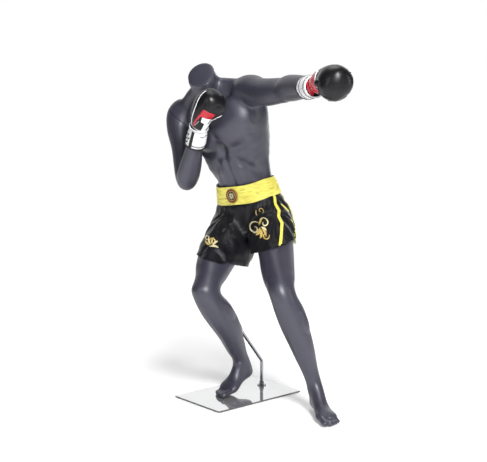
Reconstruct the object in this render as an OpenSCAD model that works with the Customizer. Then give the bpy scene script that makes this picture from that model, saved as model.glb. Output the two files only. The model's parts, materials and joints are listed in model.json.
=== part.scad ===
// Headless boxing figure on a polished plate, in a punching stance, with gloves and trunks.
// Left and right are the figure's own. It faces -X, and punches towards -Y.

/* [Base] */
// Long side of the base plate
plate_length = 443; // [400:1:500]
// Short side of the base plate
plate_width = 285; // [270:1:320]
// Thickness of the base plate
plate_thick = 6; // [4:0.5:6]
// Thickness of the underlay sheet under the plate
underlay_thick = 2; // [1:0.5:2]
// Corner radius of the plate
plate_corner = 4; // [1:1:12]
// Diameter of the calf rod
rod_d = 14; // [12:0.5:15]
// Diameter of the flange at the foot of the rod
flange_d = 38; // [34:1:46]
// Height of the flange's tube above its disc
flange_tube = 15; // [12:1:20]

/* [Figure] */
// Wall of the moulded body shells
shell_wall = 5; // [4:0.5:6]
// Gap in every seam between two body pieces
seam_gap = 0.8; // [0.6:0.1:1.2]
// Diameter of the arm spigots
arm_spigot_d = 44; // [36:1:46]
// Diameter of the wrist pegs
wrist_peg_d = 26; // [20:1:28]
// Radial play of every turning or sliding fit
fit_play = 0.06; // [0.03:0.01:0.09]

/* [Gloves] */
// Length of the glove cuffs
cuff_length = 80; // [70:1:90]
// Outer diameter of the glove cuffs
cuff_d = 84; // [82:1:90]
// Thickness of the cuff's wall
cuff_wall = 4; // [3:0.5:4.5]
// Width of the cuff's strap
strap_width = 46; // [36:1:52]

/* [Trunks] */
// Height of the waistband
band_height = 74; // [66:1:78]
// Thickness of the trunks' cloth body
cloth_thick = 5; // [4:0.5:6]
// Diameter of the badge on the waistband
badge_d = 46; // [36:1:50]
// Width of the stripes
stripe_width = 16; // [10:1:20]

/* [Detail] */
// Sides of a torso section
trunk_sides = 28; // [24:2:36]
// Sides of a limb section
limb_sides = 20; // [16:2:24]

/* [Hidden] */

FINE = 64;
EPS = 0.01;
FAR = 700;

// Colours
GREY = [0.22, 0.23, 0.26];
STEEL = [0.80, 0.81, 0.83];
BLACK = [0.05, 0.05, 0.06];
WHITE = [0.92, 0.92, 0.92];
RED = [0.75, 0.08, 0.08];
YELLOW = [0.95, 0.80, 0.10];
MAROON = [0.35, 0.06, 0.06];

// Directions
UP = [0, 0, 1];
FRONT = [-1, -0.15, 0];

// Joints of the figure
pelvis = [126, 59, 723];
right_hip = [110, 151, 708];
left_hip = [143, -34, 737];
right_knee = [-195, -22, 459];
left_knee = [-50, -318, 483];
right_shoulder = [-44, 321, 1156];
left_shoulder = [15, -42, 1254];
right_elbow = [-120, 188, 871];
left_elbow = [-67, -356, 1248];
right_wrist = [-169, 50, 1086];
left_wrist = [-180, -600, 1250];
right_knuckles = [-171, -34, 1198];
left_knuckles = [-212, -738, 1259];
neck_top = [-105, 105, 1318];

// Base
plate_top = underlay_thick + plate_thick;
rod_foot = [153, 25, plate_top];
rod_bend = [153, 25, 116];
rod_entry = [0, -19, 276];
rod_end = rod_entry + 34 * unit(rod_entry - rod_bend);
flange_disc = 3;

// Seams: a point and the direction in which the outer piece leaves
waist_axis = unit([-0.14, 0.095, 0.985]);
waist_seam = [100, 66, 872];
left_arm_axis = unit([-0.10, -0.98, 0.06]);
left_arm_seam = left_shoulder + 42 * left_arm_axis;
right_arm_axis = unit([-0.24, 0.50, -0.80]);
right_arm_seam = right_shoulder;
left_hip_axis = unit(left_knee - left_hip);
left_hip_seam = left_hip + 62 * left_hip_axis;
right_hip_axis = unit(right_knee - right_hip);
right_hip_seam = right_hip + 62 * right_hip_axis;
neck_axis = unit([-0.74, -0.34, 0.58]);
left_hand_axis = unit(left_wrist - left_elbow);
right_hand_axis = unit(right_wrist - right_elbow);

// Stations: centre, half sizes to the two sides, half sizes to the front and back.
// A torso station's first side is the figure's left.
trunk_stations = [
    [130, 60, 628, 34, 34, 34, 40],
    [130, 60, 652, 98, 98, 66, 92],
    [128, 59, 700, 144, 144, 93, 112],
    [124, 60, 745, 152, 152, 98, 110],
    [116, 62, 800, 141, 141, 96, 98],
    [103, 65, 855, 126, 126, 92, 88],
    [88, 69, 906, 117, 117, 88, 84],
    [66, 79, 980, 139, 137, 98, 92],
    [44, 88, 1056, 170, 150, 112, 104],
    [22, 100, 1131, 201, 158, 120, 112],
    [4, 112, 1166, 203, 160, 112, 106],
    [-10, 126, 1194, 184, 160, 92, 92],
    [-24, 132, 1224, 116, 112, 70, 76],
    [-44, 128, 1250, 68, 68, 58, 62],
    [-72, 118, 1282, 57, 57, 55, 55],
    [-105, 105, 1312, 56, 56, 52, 54]
];
trunk_side_low = [0.16, -0.975, 0.15];
trunk_side_high = [0.15, -0.955, 0.26];

// A leg station's first side is the figure's right.
right_thigh_stations = [
    [128, 150, 762, 70, 74, 70, 84],
    [106, 148, 705, 84, 84, 84, 98],
    [40, 110, 655, 80, 80, 82, 90],
    [-55, 62, 582, 72, 70, 76, 76],
    [-135, 14, 512, 60, 58, 64, 58],
    [-180, -14, 472, 52, 52, 54, 44],
    [-208, -30, 452, 26, 26, 30, 22]
];
right_shank_stations = [
    [-202, -28, 504, 26, 26, 22, 26],
    [-196, -25, 482, 44, 44, 42, 42],
    [-184, -20, 446, 54, 54, 53, 52],
    [-160, -19, 402, 55, 56, 47, 60],
    [-115, -16, 346, 53, 54, 46, 63],
    [-61, -7, 280, 50, 52, 43, 60],
    [-9, 11, 205, 40, 41, 38, 44],
    [32, 22, 148, 34, 35, 36, 36],
    [52, 26, 116, 32, 34, 36, 35],
    [64, 28, 92, 24, 24, 26, 24]
];
// Thickened back of the calf round the rod's socket
calf_boss_stations = [
    [-4, -20, 280, 13, 13, 13, 13],
    [-26, -22, 297, 20, 20, 20, 20],
    [-57, -24, 319, 29, 29, 29, 29],
    [-94, -26, 343, 37, 37, 37, 37]
];
left_leg_stations = [
    [152, -24, 790, 62, 64, 66, 80],
    [135, -46, 728, 78, 78, 80, 94],
    [97, -105, 676, 74, 72, 78, 84],
    [44, -181, 605, 65, 62, 72, 70],
    [-5, -254, 538, 57, 53, 62, 58],
    [-40, -307, 486, 53, 50, 56, 50],
    [-34, -322, 432, 54, 50, 47, 56],
    [-10, -332, 362, 53, 51, 46, 62],
    [20, -345, 285, 48, 46, 43, 54],
    [48, -358, 200, 38, 36, 37, 42],
    [68, -368, 132, 33, 32, 35, 36],
    [78, -373, 88, 33, 31, 35, 34],
    [80, -373, 52, 26, 26, 28, 26]
];
// A foot station: half widths to the two sides, heights above and below.
right_foot_stations = [
    [99, 33, 92, 17, 17, 20, 20],
    [88, 31, 88, 28, 28, 34, 32],
    [62, 28, 82, 32, 32, 44, 33],
    [22, 23, 66, 35, 35, 44, 25],
    [-12, 18, 50, 41, 41, 30, 23],
    [-40, 14, 38, 46, 44, 20, 26],
    [-68, 10, 25, 44, 40, 13, 15.5],
    [-90, 8, 19, 31, 28, 7, 9]
];
left_foot_stations = [
    [106, -329, 33, 17, 17, 20, 20],
    [98, -341, 35, 27, 27, 34, 32],
    [86, -362, 37, 30, 30, 42, 35],
    [65, -406, 35, 33, 33, 42, 30],
    [42, -449, 29, 38, 38, 28, 27],
    [20, -488, 25, 43, 44, 19, 24],
    [0, -524, 16, 39, 42, 14, 15.5],
    [-15, -550, 12, 26, 30, 8, 11]
];
left_arm_stations = [
    [36, 14, 1240, 52, 52, 46, 46],
    [20, -30, 1250, 66, 66, 64, 66],
    [2, -84, 1254, 63, 62, 60, 64],
    [-18, -150, 1247, 54, 50, 51, 52],
    [-38, -232, 1245, 50, 46, 48, 47],
    [-62, -330, 1248, 45, 43, 44, 43],
    [-76, -366, 1250, 45, 46, 44, 44],
    [-100, -418, 1252, 47, 48, 46, 46],
    [-136, -502, 1251, 39, 39, 38, 38],
    [-168, -574, 1250, 31, 31, 30, 30],
    [-186, -612, 1250, 28, 28, 27, 27]
];
right_upper_arm_stations = [
    [-30, 292, 1208, 56, 54, 54, 54],
    [-42, 316, 1166, 64, 62, 63, 64],
    [-60, 298, 1098, 62, 54, 60, 58],
    [-80, 262, 1020, 51, 46, 50, 50],
    [-98, 228, 950, 46, 44, 48, 46],
    [-116, 196, 888, 40, 40, 42, 38],
    [-121, 186, 864, 26, 26, 28, 24]
];
right_forearm_stations = [
    [-117, 195, 854, 22, 22, 24, 20],
    [-120, 186, 876, 38, 38, 40, 34],
    [-128, 163, 918, 45, 45, 44, 40],
    [-139, 129, 970, 41, 41, 40, 38],
    [-156, 85, 1036, 32, 32, 32, 32],
    [-169, 50, 1086, 29, 29, 28, 28],
    [-173, 39, 1102, 27, 27, 26, 26]
];
// A glove station: distance past the wrist, then the half sizes
glove_stations = [
    [42, 36, 36, 34, 34],
    [52, 47, 47, 45, 45],
    [72, 55, 55, 53, 54],
    [104, 62, 61, 59, 61],
    [136, 64, 62, 60, 61],
    [168, 59, 57, 53, 55],
    [192, 43, 42, 37, 38],
    [203, 20, 20, 16, 16]
];
fist_stations = [
    [6, 23, 23, 22, 22],
    [34, 26, 26, 22, 22],
    [60, 36, 36, 26, 27],
    [100, 42, 42, 33, 35],
    [138, 41, 41, 33, 35],
    [160, 27, 27, 22, 23]
];

// ---------------------------------------------------------------- vectors and lofts

function unit(v) = v / norm(v);
function square_part(v, axis) = v - axis * (v * axis);
function mix(a, b, t) = a + (b - a) * t;
function pick(list, i) = list[max(0, min(len(list) - 1, i))];
function cubic(a, b, c, d, t) =
    0.5 * (2 * b + (c - a) * t + (2 * a - 5 * b + 4 * c - d) * t * t
    + (3 * b - a - 3 * c + d) * t * t * t);
function smoothed(list, steps) = [
    for (k = [0 : (len(list) - 1) * steps])
        let (i = floor(k / steps))
        cubic(pick(list, i - 1), pick(list, i), pick(list, i + 1), pick(list, i + 2), k / steps - i)
];
function centre(s) = [s[0], s[1], s[2]];
function signed_power(v, p) = sign(v) * pow(abs(v), p);

// One closed section of a loft, grown outwards by a margin
function section(c, side, front, s, sides, grow, power) = [
    for (i = [0 : sides - 1])
        let (a = 360 * i / sides, x = signed_power(cos(a), power), y = signed_power(sin(a), power))
        c + side * x * ((x >= 0 ? s[3] : s[4]) + grow) + front * y * ((y >= 0 ? s[5] : s[6]) + grow)
];
// All sections along the stations, with the front direction turning from ref_a to ref_b
function sections(stations, ref_a, ref_b, sides, grow = 0, power = 1, steps = 2) =
    let (list = smoothed(stations, steps), last = len(list) - 1)
    [for (k = [0 : last])
        let (
            along = unit(centre(pick(list, k + 1)) - centre(pick(list, k - 1))),
            front = unit(square_part(mix(ref_a, ref_b, k / last), along))
        )
        section(centre(list[k]), cross(along, front), front, list[k], sides, grow, power)];

// A solid skin over the sections, closed at both ends
module skin(rings) {
    sides = len(rings[0]);
    last = len(rings) - 1;
    low = mean(rings[0]);
    high = mean(rings[last]);
    points = concat([for (r = rings) each r], [low, high]);
    low_i = len(points) - 2;
    high_i = len(points) - 1;
    walls = [
        for (k = [0 : last - 1], i = [0 : sides - 1], half = [0, 1])
            let (
                a = k * sides + i,
                b = k * sides + (i + 1) % sides,
                c = b + sides,
                d = a + sides
            )
            half == 0 ? [a, b, c] : [a, c, d]
    ];
    low_cap = [for (i = [0 : sides - 1]) [low_i, (i + 1) % sides, i]];
    high_cap = [for (i = [0 : sides - 1]) [high_i, last * sides + i, last * sides + (i + 1) % sides]];
    polyhedron(points = points, faces = concat(walls, low_cap, high_cap));
}
function mean(list, i = 0, total = [0, 0, 0]) =
    i == len(list) ? total / len(list) : mean(list, i + 1, total + list[i]);

// ---------------------------------------------------------------- placing and cutting

// Children stand with +Z along an axis and +Y as near as it goes to a back direction
module place(point, axis, back) {
    z = unit(axis);
    y = unit(square_part(back, z));
    x = cross(y, z);
    multmatrix([
        [x[0], y[0], z[0], point[0]],
        [x[1], y[1], z[1], point[1]],
        [x[2], y[2], z[2], point[2]],
        [0, 0, 0, 1]
    ]) children();
}
// The block of space past a plane
module beyond(point, axis, width = 2 * FAR, depth = FAR) {
    place(point, axis, abs(axis[2]) > 0.9 ? FRONT : UP)
        translate([-width / 2, -width / 2, 0]) cube([width, width, depth]);
}
// The children's facets joined into one skin at their own size
module one_skin() {
    resize([0, 0, 0]) children();
}
module ring(r_out, r_in, low, high) {
    translate([0, 0, low]) difference() {
        cylinder(r = r_out, h = high - low, $fn = FINE);
        translate([0, 0, -1]) cylinder(r = r_in, h = high - low + 2, $fn = FINE);
    }
}
// A moulded shell: the first child is its outside, the second its hollow, the third more holes.
// Each seam is [point, direction out, radius of the hole for its fitting].
module moulded(seams) {
    one_skin() difference() {
        children(0);
        for (s = seams) beyond(s[0] - s[1] * seam_gap / 2, s[1]);
        difference() {
            children(1);
            for (s = seams) beyond(s[0] - s[1] * (seam_gap / 2 + shell_wall), s[1]);
        }
        for (s = seams) seam_hole(s[0], s[1], s[2]);
        if ($children > 2) children(2);
    }
}
// Hole through the wall that closes a shell at a seam
module seam_hole(point, axis, r) {
    place(point, axis, FRONT)
        translate([0, 0, -shell_wall - 4]) cylinder(r = r, h = shell_wall + 6, $fn = 40);
}

// ---------------------------------------------------------------- fittings

socket_wall = 4;
flange_grip = 6;
socket_floor = 3;
hole_play = 0.5;
// Cup in the inner piece of a seam: its mouth is flush with that piece
module socket(point, axis, pin_r, depth) {
    place(point, axis, FRONT) difference() {
        translate([0, 0, -depth - socket_floor])
            cylinder(r = pin_r + socket_wall, h = depth + socket_floor - seam_gap / 2, $fn = FINE);
        translate([0, 0, -depth]) cylinder(r = pin_r + fit_play, h = depth + 1, $fn = FINE);
    }
}
// Pin of the outer piece: a disc inside that piece and a pin that runs back into the cup
module spigot(point, axis, pin_r, depth) {
    place(point, axis, FRONT) {
        translate([0, 0, seam_gap / 2])
            cylinder(r = pin_r + flange_grip, h = shell_wall + 2, $fn = FINE);
        translate([0, 0, -depth + 2]) cylinder(r = pin_r, h = depth, $fn = FINE);
    }
}
waist_pin_r = 40;
waist_pin_depth = 44;
hip_pin_r = 28;
hip_pin_depth = 32;
arm_pin_r = arm_spigot_d / 2;
arm_pin_depth = 30;
wrist_pin_r = wrist_peg_d / 2;
wrist_pin_depth = 28;
cap_pin_r = 18;
cap_pin_depth = 16;
rod_r = rod_d / 2;

module waist_socket() { color(STEEL) socket(waist_seam, waist_axis, waist_pin_r, waist_pin_depth); }
module waist_spigot() { color(STEEL) spigot(waist_seam, waist_axis, waist_pin_r, waist_pin_depth); }
module left_hip_socket() { color(STEEL) socket(left_hip_seam, left_hip_axis, hip_pin_r, hip_pin_depth); }
module left_hip_spigot() { color(STEEL) spigot(left_hip_seam, left_hip_axis, hip_pin_r, hip_pin_depth); }
module left_shoulder_socket() {
    color(STEEL) socket(left_arm_seam, left_arm_axis, arm_pin_r, arm_pin_depth);
}
module left_shoulder_spigot() {
    color(STEEL) spigot(left_arm_seam, left_arm_axis, arm_pin_r, arm_pin_depth);
}
module right_shoulder_socket() {
    color(STEEL) socket(right_arm_seam, right_arm_axis, arm_pin_r, arm_pin_depth);
}
module right_shoulder_spigot() {
    color(STEEL) spigot(right_arm_seam, right_arm_axis, arm_pin_r, arm_pin_depth);
}
module left_wrist_socket() {
    color(STEEL) socket(left_wrist, left_hand_axis, wrist_pin_r, wrist_pin_depth);
}
module right_wrist_socket() {
    color(STEEL) socket(right_wrist, right_hand_axis, wrist_pin_r, wrist_pin_depth);
}
module left_wrist_peg() { color(STEEL) wrist_peg(left_wrist, left_hand_axis); }
module right_wrist_peg() { color(STEEL) wrist_peg(right_wrist, right_hand_axis); }
module wrist_peg(wrist, axis) {
    place(wrist, axis, FRONT) {
        translate([0, 0, -wrist_pin_depth + 2])
            cylinder(r = wrist_pin_r, h = wrist_pin_depth + 16, $fn = FINE);
    }
}
module neck_ring() { color(STEEL) socket(neck_top, neck_axis, cap_pin_r, cap_pin_depth); }
module neck_cap() {
    color(GREY) place(neck_top, neck_axis, FRONT) {
        translate([0, 0, seam_gap / 2]) cap_dome();
        translate([0, 0, -cap_pin_depth + 2]) cylinder(r = cap_pin_r, h = cap_pin_depth, $fn = FINE);
    }
}
cap_r = 56;
cap_height = 8;
module cap_dome() {
    rotate_extrude($fn = 96)
        polygon(concat([[0, 0]], [[cap_r, 0], [cap_r, 3]],
            [for (a = [0 : 10 : 90]) [(cap_r - 3) * cos(a), 3 + (cap_height - 3) * sin(a)]]));
}
rod_socket_wall = 3;
// The hole for the rod's socket runs from before the calf's skin to past the socket's end
rod_hole_before = 30;
rod_hole_past = 60;
module calf_socket() {
    rod_axis = unit(rod_entry - rod_bend);
    depth = norm(rod_end - rod_entry);
    color(STEEL) place(rod_entry, rod_axis, UP) difference() {
        translate([0, 0, 4]) cylinder(r = rod_r + rod_socket_wall, h = depth, $fn = FINE);
        translate([0, 0, 3]) cylinder(r = rod_r + fit_play, h = depth - 2.5, $fn = FINE);
    }
}

// ---------------------------------------------------------------- base

module base_underlay() { color(BLACK) plate_block(0, underlay_thick, 3); }
module base_plate() {
    color(STEEL) difference() {
        plate_block(underlay_thick, plate_thick, 0);
        translate([rod_foot[0], rod_foot[1], 0]) {
            cylinder(r = bolt_r + 0.2, h = plate_top + 1, $fn = FINE);
            translate([0, 0, underlay_thick - EPS])
                cylinder(r = bolt_head_r + 0.3, h = bolt_head_h + 0.3, $fn = FINE);
        }
    }
}
bolt_r = 3;
bolt_head_r = 6;
bolt_head_h = 2.6;
module base_bolt() {
    color(STEEL) translate([rod_foot[0], rod_foot[1], underlay_thick + 0.1]) {
        cylinder(r = bolt_head_r, h = bolt_head_h, $fn = FINE);
        cylinder(r = bolt_r, h = plate_thick + flange_disc - 0.6, $fn = FINE);
    }
}
// A plate with round corners, inset from the full size
module plate_block(low, height, inset) {
    x = plate_length / 2 - inset - plate_corner;
    y = plate_width / 2 - inset - plate_corner;
    translate([0, 0, low]) linear_extrude(height) {
        square([2 * x, 2 * (y + plate_corner)], center = true);
        square([2 * (x + plate_corner), 2 * y], center = true);
        for (i = [-1, 1], j = [-1, 1]) translate([i * x, j * y]) circle(r = plate_corner, $fn = 32);
    }
}
tube_wall = 3;
screw_r = 2.5;
screw_height = flange_disc + flange_tube / 2;
module rod_flange() {
    color(STEEL) difference() {
        translate(rod_foot) {
            cylinder(d = flange_d, h = flange_disc, $fn = FINE);
            cylinder(r = rod_r + tube_wall, h = flange_disc + flange_tube, $fn = FINE);
        }
        translate(rod_foot + [0, 0, flange_disc])
            cylinder(r = rod_r + fit_play, h = flange_tube + 1, $fn = FINE);
        translate(rod_foot - [0, 0, 1]) cylinder(r = bolt_r + 0.05, h = flange_disc + 2, $fn = FINE);
        translate(rod_foot + [0, 0, screw_height]) rotate([0, 90, 0])
            cylinder(r = screw_r + fit_play, h = rod_r + tube_wall + 2, $fn = 48);
    }
}
module rod_set_screw() {
    color(BLACK) translate(rod_foot + [rod_r + 0.2, 0, screw_height]) rotate([0, 90, 0])
        difference() {
            cylinder(r = screw_r, h = tube_wall + 1.2, $fn = 48);
            translate([0, 0, 2.2]) cylinder(r = 1.4, h = 4, $fn = 6);
        }
}
module calf_rod() {
    rod_axis = unit(rod_entry - rod_bend);
    color(STEEL) {
        translate(rod_foot + [0, 0, flange_disc + 0.2])
            cylinder(r = rod_r, h = rod_bend[2] - plate_top - flange_disc - 0.2, $fn = FINE);
        translate(rod_bend) sphere(r = rod_r, $fn = FINE);
        place(rod_bend, rod_axis, UP)
            cylinder(r = rod_r, h = norm(rod_end - rod_bend), $fn = FINE);
    }
}

// ---------------------------------------------------------------- body shells

trunk_front_low = cross(trunk_side_low, UP);
trunk_front_high = cross(trunk_side_high, unit([-0.277, 0.159, 0.948]));
// A hollow, which has a negative margin, takes fewer sides and sections than a skin
function sides_for(grow, sides) = grow < 0 ? 2 * ceil(sides * 0.3) : sides;
function steps_for(grow) = grow < 0 ? 1 : 2;
module trunk(grow) {
    skin(sections(trunk_stations, trunk_front_low, trunk_front_high,
        sides_for(grow, trunk_sides), grow, 0.86, steps_for(grow)));
}
module limb(stations, grow, power) {
    skin(sections(stations, FRONT, FRONT, sides_for(grow, limb_sides), grow, power, steps_for(grow)));
}
module foot(stations) { skin(sections(stations, UP, UP, limb_sides, 0, 0.9, 1)); }
// Sections under 1 are squarer than an ellipse
leg_power = 0.95;
module left_limb(grow) { limb(left_leg_stations, grow, leg_power); }
module right_limb(grow) {
    limb(right_thigh_stations, grow, leg_power);
    limb(right_shank_stations, grow, leg_power);
}
module arm(stations, grow) { limb(stations, grow, 1); }

module pelvis_shell() {
    color(GREY) one_skin() difference() {
        hips(0, seam_gap / 2);
        hips(-shell_wall, seam_gap / 2 + shell_wall);
        seam_hole(waist_seam, waist_axis, waist_pin_r + socket_wall + hole_play);
        seam_hole(left_hip_seam, left_hip_axis, hip_pin_r + socket_wall + hole_play);
        seam_hole(right_hip_seam, right_hip_axis, vent_r);
    }
}
// The hips with the heads of both thighs, every seam face held back by some distance
module hips(grow, back) {
    difference() {
        trunk(grow);
        beyond(waist_seam - waist_axis * back, waist_axis);
        limb_room(left_leg_stations, left_hip_seam - left_hip_axis * back, left_hip_axis,
            limb_play + back, leg_power);
        limb_room(right_thigh_stations, right_hip_seam - right_hip_axis * back, right_hip_axis,
            limb_play + back, leg_power);
    }
    difference() {
        left_limb(grow);
        beyond(left_hip_seam - left_hip_axis * back, left_hip_axis);
    }
    difference() {
        limb(right_thigh_stations, grow, leg_power);
        beyond(right_hip_seam - right_hip_axis * back, right_hip_axis);
    }
}
// Room that the trunk leaves for a limb past its seam
module limb_room(stations, seam, axis, play, power) {
    intersection() {
        limb(stations, play, power);
        beyond(seam, axis);
    }
}
limb_play = 3;
vent_r = 10;
module right_leg_shell() {
    color(GREY) moulded([[right_hip_seam, -right_hip_axis, vent_r]]) {
        union() {
            right_limb(0);
            foot(right_foot_stations);
            limb(calf_boss_stations, 0, 1);
        }
        right_limb(-shell_wall);
        place(rod_entry, rod_entry - rod_bend, UP)
            translate([0, 0, -rod_hole_before])
            cylinder(r = rod_r + rod_socket_wall + hole_play, h = rod_hole_before + rod_hole_past, $fn = 40);
    }
}
module left_leg_shell() {
    color(GREY) moulded([[left_hip_seam, -left_hip_axis, hip_pin_r + flange_grip + hole_play]]) {
        union() {
            left_limb(0);
            foot(left_foot_stations);
        }
        left_limb(-shell_wall);
    }
}
// Block that takes the neck's end off, small enough to miss the left arm
neck_cut_width = 240;
neck_cut_depth = 100;
module torso_shell() {
    color(GREY) one_skin() difference() {
        chest(0, seam_gap / 2);
        chest(-shell_wall, seam_gap / 2 + shell_wall);
        seam_hole(waist_seam, -waist_axis, waist_pin_r + flange_grip + hole_play);
        seam_hole(left_arm_seam, left_arm_axis, arm_pin_r + socket_wall + hole_play);
        seam_hole(right_arm_seam, right_arm_axis, arm_pin_r + socket_wall + hole_play);
        seam_hole(neck_top, neck_axis, cap_pin_r + socket_wall + hole_play);
    }
}
// The chest with the heads of both arms, every seam face held back by some distance
module chest(grow, back) {
    difference() {
        trunk(grow);
        beyond(waist_seam + waist_axis * back, -waist_axis);
        beyond(neck_top - neck_axis * back, neck_axis, neck_cut_width, neck_cut_depth);
        limb_room(left_arm_stations, left_arm_seam - left_arm_axis * back, left_arm_axis,
            limb_play + back, 1);
        limb_room(right_upper_arm_stations, right_arm_seam - right_arm_axis * back, right_arm_axis,
            limb_play + back, 1);
    }
    difference() {
        arm(left_arm_stations, grow);
        beyond(left_arm_seam - left_arm_axis * back, left_arm_axis);
    }
    difference() {
        arm(right_upper_arm_stations, grow);
        beyond(right_arm_seam - right_arm_axis * back, right_arm_axis);
    }
}
module left_arm_shell() {
    color(GREY) moulded([
        [left_arm_seam, -left_arm_axis, arm_pin_r + flange_grip + hole_play],
        [left_wrist, left_hand_axis, wrist_pin_r + socket_wall + hole_play]
    ]) {
        arm(left_arm_stations, 0);
        arm(left_arm_stations, -shell_wall);
    }
}
module right_arm_shell() {
    color(GREY) one_skin() difference() {
        bent_arm(0, seam_gap / 2);
        bent_arm(-shell_wall, seam_gap / 2 + shell_wall);
        seam_hole(right_arm_seam, -right_arm_axis, arm_pin_r + flange_grip + hole_play);
        seam_hole(right_wrist, right_hand_axis, wrist_pin_r + socket_wall + hole_play);
    }
}
// The upper arm past the shoulder's seam and the forearm as far as the wrist's
module bent_arm(grow, back) {
    difference() {
        arm(right_upper_arm_stations, grow);
        beyond(right_arm_seam + right_arm_axis * back, -right_arm_axis);
    }
    difference() {
        arm(right_forearm_stations, grow);
        beyond(right_wrist - right_hand_axis * back, right_hand_axis);
    }
}

// ---------------------------------------------------------------- gloves

// Direction of the back of each hand; the palm is opposite
left_back = [0.62, 0, 0.78];
right_back = [-0.757, 0.653, 0];
left_punch = unit(left_knuckles - left_wrist);
right_punch = unit(right_knuckles - right_wrist);

function hand_sections(stations, wrist, axis, back, grow, sides) = sections(
    [for (s = stations) concat(wrist + axis * s[0], [s[1], s[2], s[3], s[4]])], back, back, sides, grow, 0.9);

module fist(wrist, axis, back, hand_axis) {
    one_skin() difference() {
        skin(hand_sections(fist_stations, wrist, axis, back, 0, 16));
        place(wrist, hand_axis, FRONT) translate([0, 0, -20])
            cylinder(r = wrist_pin_r + hole_play, h = 42, $fn = 32);
    }
}
padding_gap = 0.6;
module padding(wrist, axis, back) {
    one_skin() difference() {
        skin(hand_sections(glove_stations, wrist, axis, back, 0, 24));
        skin(hand_sections(fist_stations, wrist, axis, back, padding_gap, 16));
        palm_notch(wrist, axis, back);
    }
}
// The gap between the curled finger padding and the wrist, on the palm
module palm_notch(wrist, axis, back) {
    place(wrist, axis, back) translate([-FAR / 2, -72, 62]) rotate([0, 90, 0])
        cylinder(r = 24, h = FAR, $fn = 24);
}
module thumb(wrist, axis, back, hand) {
    place(wrist, axis, back) one_skin() {
        hull() {
            translate([hand * 60, -24, 66]) sphere(r = 16, $fn = 20);
            translate([hand * 72, -24, 112]) sphere(r = 17, $fn = 20);
        }
        hull() {
            translate([hand * 72, -24, 112]) sphere(r = 17, $fn = 20);
            translate([hand * 68, -36, 150]) sphere(r = 14, $fn = 20);
        }
    }
}
module glove_thumb(wrist, axis, back, hand) {
    one_skin() difference() {
        thumb(wrist, axis, back, hand);
        skin(hand_sections(glove_stations, wrist, axis, back, 0.4, 24));
    }
}
cuff_low = -54;
cuff_high = cuff_low + cuff_length;
cuff_r = cuff_d / 2;
strap_thick = 3;
strap_low = cuff_low + 16;
trim_height = 6;
module cuff(wrist, axis) { place(wrist, axis, FRONT) ring(cuff_r, cuff_r - cuff_wall, cuff_low, cuff_high); }
module strap(wrist, axis) {
    place(wrist, axis, FRONT)
        ring(cuff_r + 0.2 + strap_thick, cuff_r + 0.2, strap_low, strap_low + strap_width);
}
module trim(wrist, axis) {
    place(wrist, axis, FRONT) {
        ring(cuff_r, cuff_r - cuff_wall, cuff_low - 0.2 - trim_height, cuff_low - 0.2);
        ring(cuff_r + 2, cuff_r - cuff_wall, cuff_high + 0.2, cuff_high + 0.2 + trim_height);
    }
}
// Thin patch on the side of the padding near the wrist
module patch(wrist, axis, back, side) {
    one_skin() intersection() {
        difference() {
            skin(hand_sections(glove_stations, wrist, axis, back, 2, 24));
            skin(hand_sections(glove_stations, wrist, axis, back, 0.3, 24));
        }
        place(wrist, axis, back) translate([side > 0 ? 20 : -100, -40, 44]) cube([80, 60, 44]);
    }
}
module left_fist() { color(GREY) fist(left_wrist, left_punch, left_back, left_hand_axis); }
module right_fist() { color(GREY) fist(right_wrist, right_punch, right_back, right_hand_axis); }
module left_glove_padding() { color(BLACK) padding(left_wrist, left_punch, left_back); }
module right_glove_padding() { color(BLACK) padding(right_wrist, right_punch, right_back); }
module left_glove_thumb() { color(BLACK) glove_thumb(left_wrist, left_punch, left_back, -1); }
module right_glove_thumb() { color(BLACK) glove_thumb(right_wrist, right_punch, right_back, 1); }
module left_glove_patch() { color(RED) patch(left_wrist, left_punch, left_back, 1); }
module right_glove_patch() { color(RED) patch(right_wrist, right_punch, right_back, -1); }
module left_glove_cuff() { color(WHITE) cuff(left_wrist, left_hand_axis); }
module right_glove_cuff() { color(WHITE) cuff(right_wrist, right_hand_axis); }
module left_glove_strap() { color(WHITE) strap(left_wrist, left_hand_axis); }
module right_glove_strap() { color(WHITE) strap(right_wrist, right_hand_axis); }
module left_glove_trim() { color(BLACK) trim(left_wrist, left_hand_axis); }
module right_glove_trim() { color(BLACK) trim(right_wrist, right_hand_axis); }

// ---------------------------------------------------------------- trunks

right_bag_stations = [
    [120, 126, 752, 88, 88, 92, 108],
    [100, 122, 706, 96, 96, 98, 114],
    [60, 103, 660, 101, 96, 106, 114],
    [20, 82, 614, 96, 93, 112, 112],
    [-8, 71, 572, 88, 88, 114, 108],
    [-24, 66, 530, 84, 84, 112, 104]
];
left_bag_stations = [
    [136, -16, 764, 88, 88, 90, 108],
    [130, -46, 724, 90, 90, 94, 110],
    [112, -78, 690, 88, 88, 94, 104],
    [90, -106, 658, 85, 85, 92, 96],
    [74, -128, 626, 84, 87, 92, 92],
    [60, -148, 592, 82, 86, 88, 88]
];
// Hems: a point on each and the direction down out of it
right_hem = [0, 70, 556];
right_hem_down = unit([-0.219, 0.135, -0.966]);
right_hem_reach = 300;
left_hem = [65, -142, 632];
left_hem_down = unit([0.183, -0.271, -0.945]);
left_hem_reach = 240;
band_middle = [106, 64, 850];
band_low = band_middle - waist_axis * band_height / 2;
band_high = band_middle + waist_axis * band_height / 2;
band_play = 0.3;
seat_grow = 12;
skin_play = 1;
leg_play = 5;
bag_sides = 20;
module bag(stations, grow) {
    skin(sections(stations, FRONT, FRONT, bag_sides, grow, leg_power, 1));
}
module seat(grow) {
    difference() {
        trunk(seat_grow + grow);
        beyond(band_low - waist_axis * band_play, waist_axis);
    }
}
module bags(grow) {
    seat(grow);
    bag(right_bag_stations, grow);
    bag(left_bag_stations, grow);
}
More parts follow.
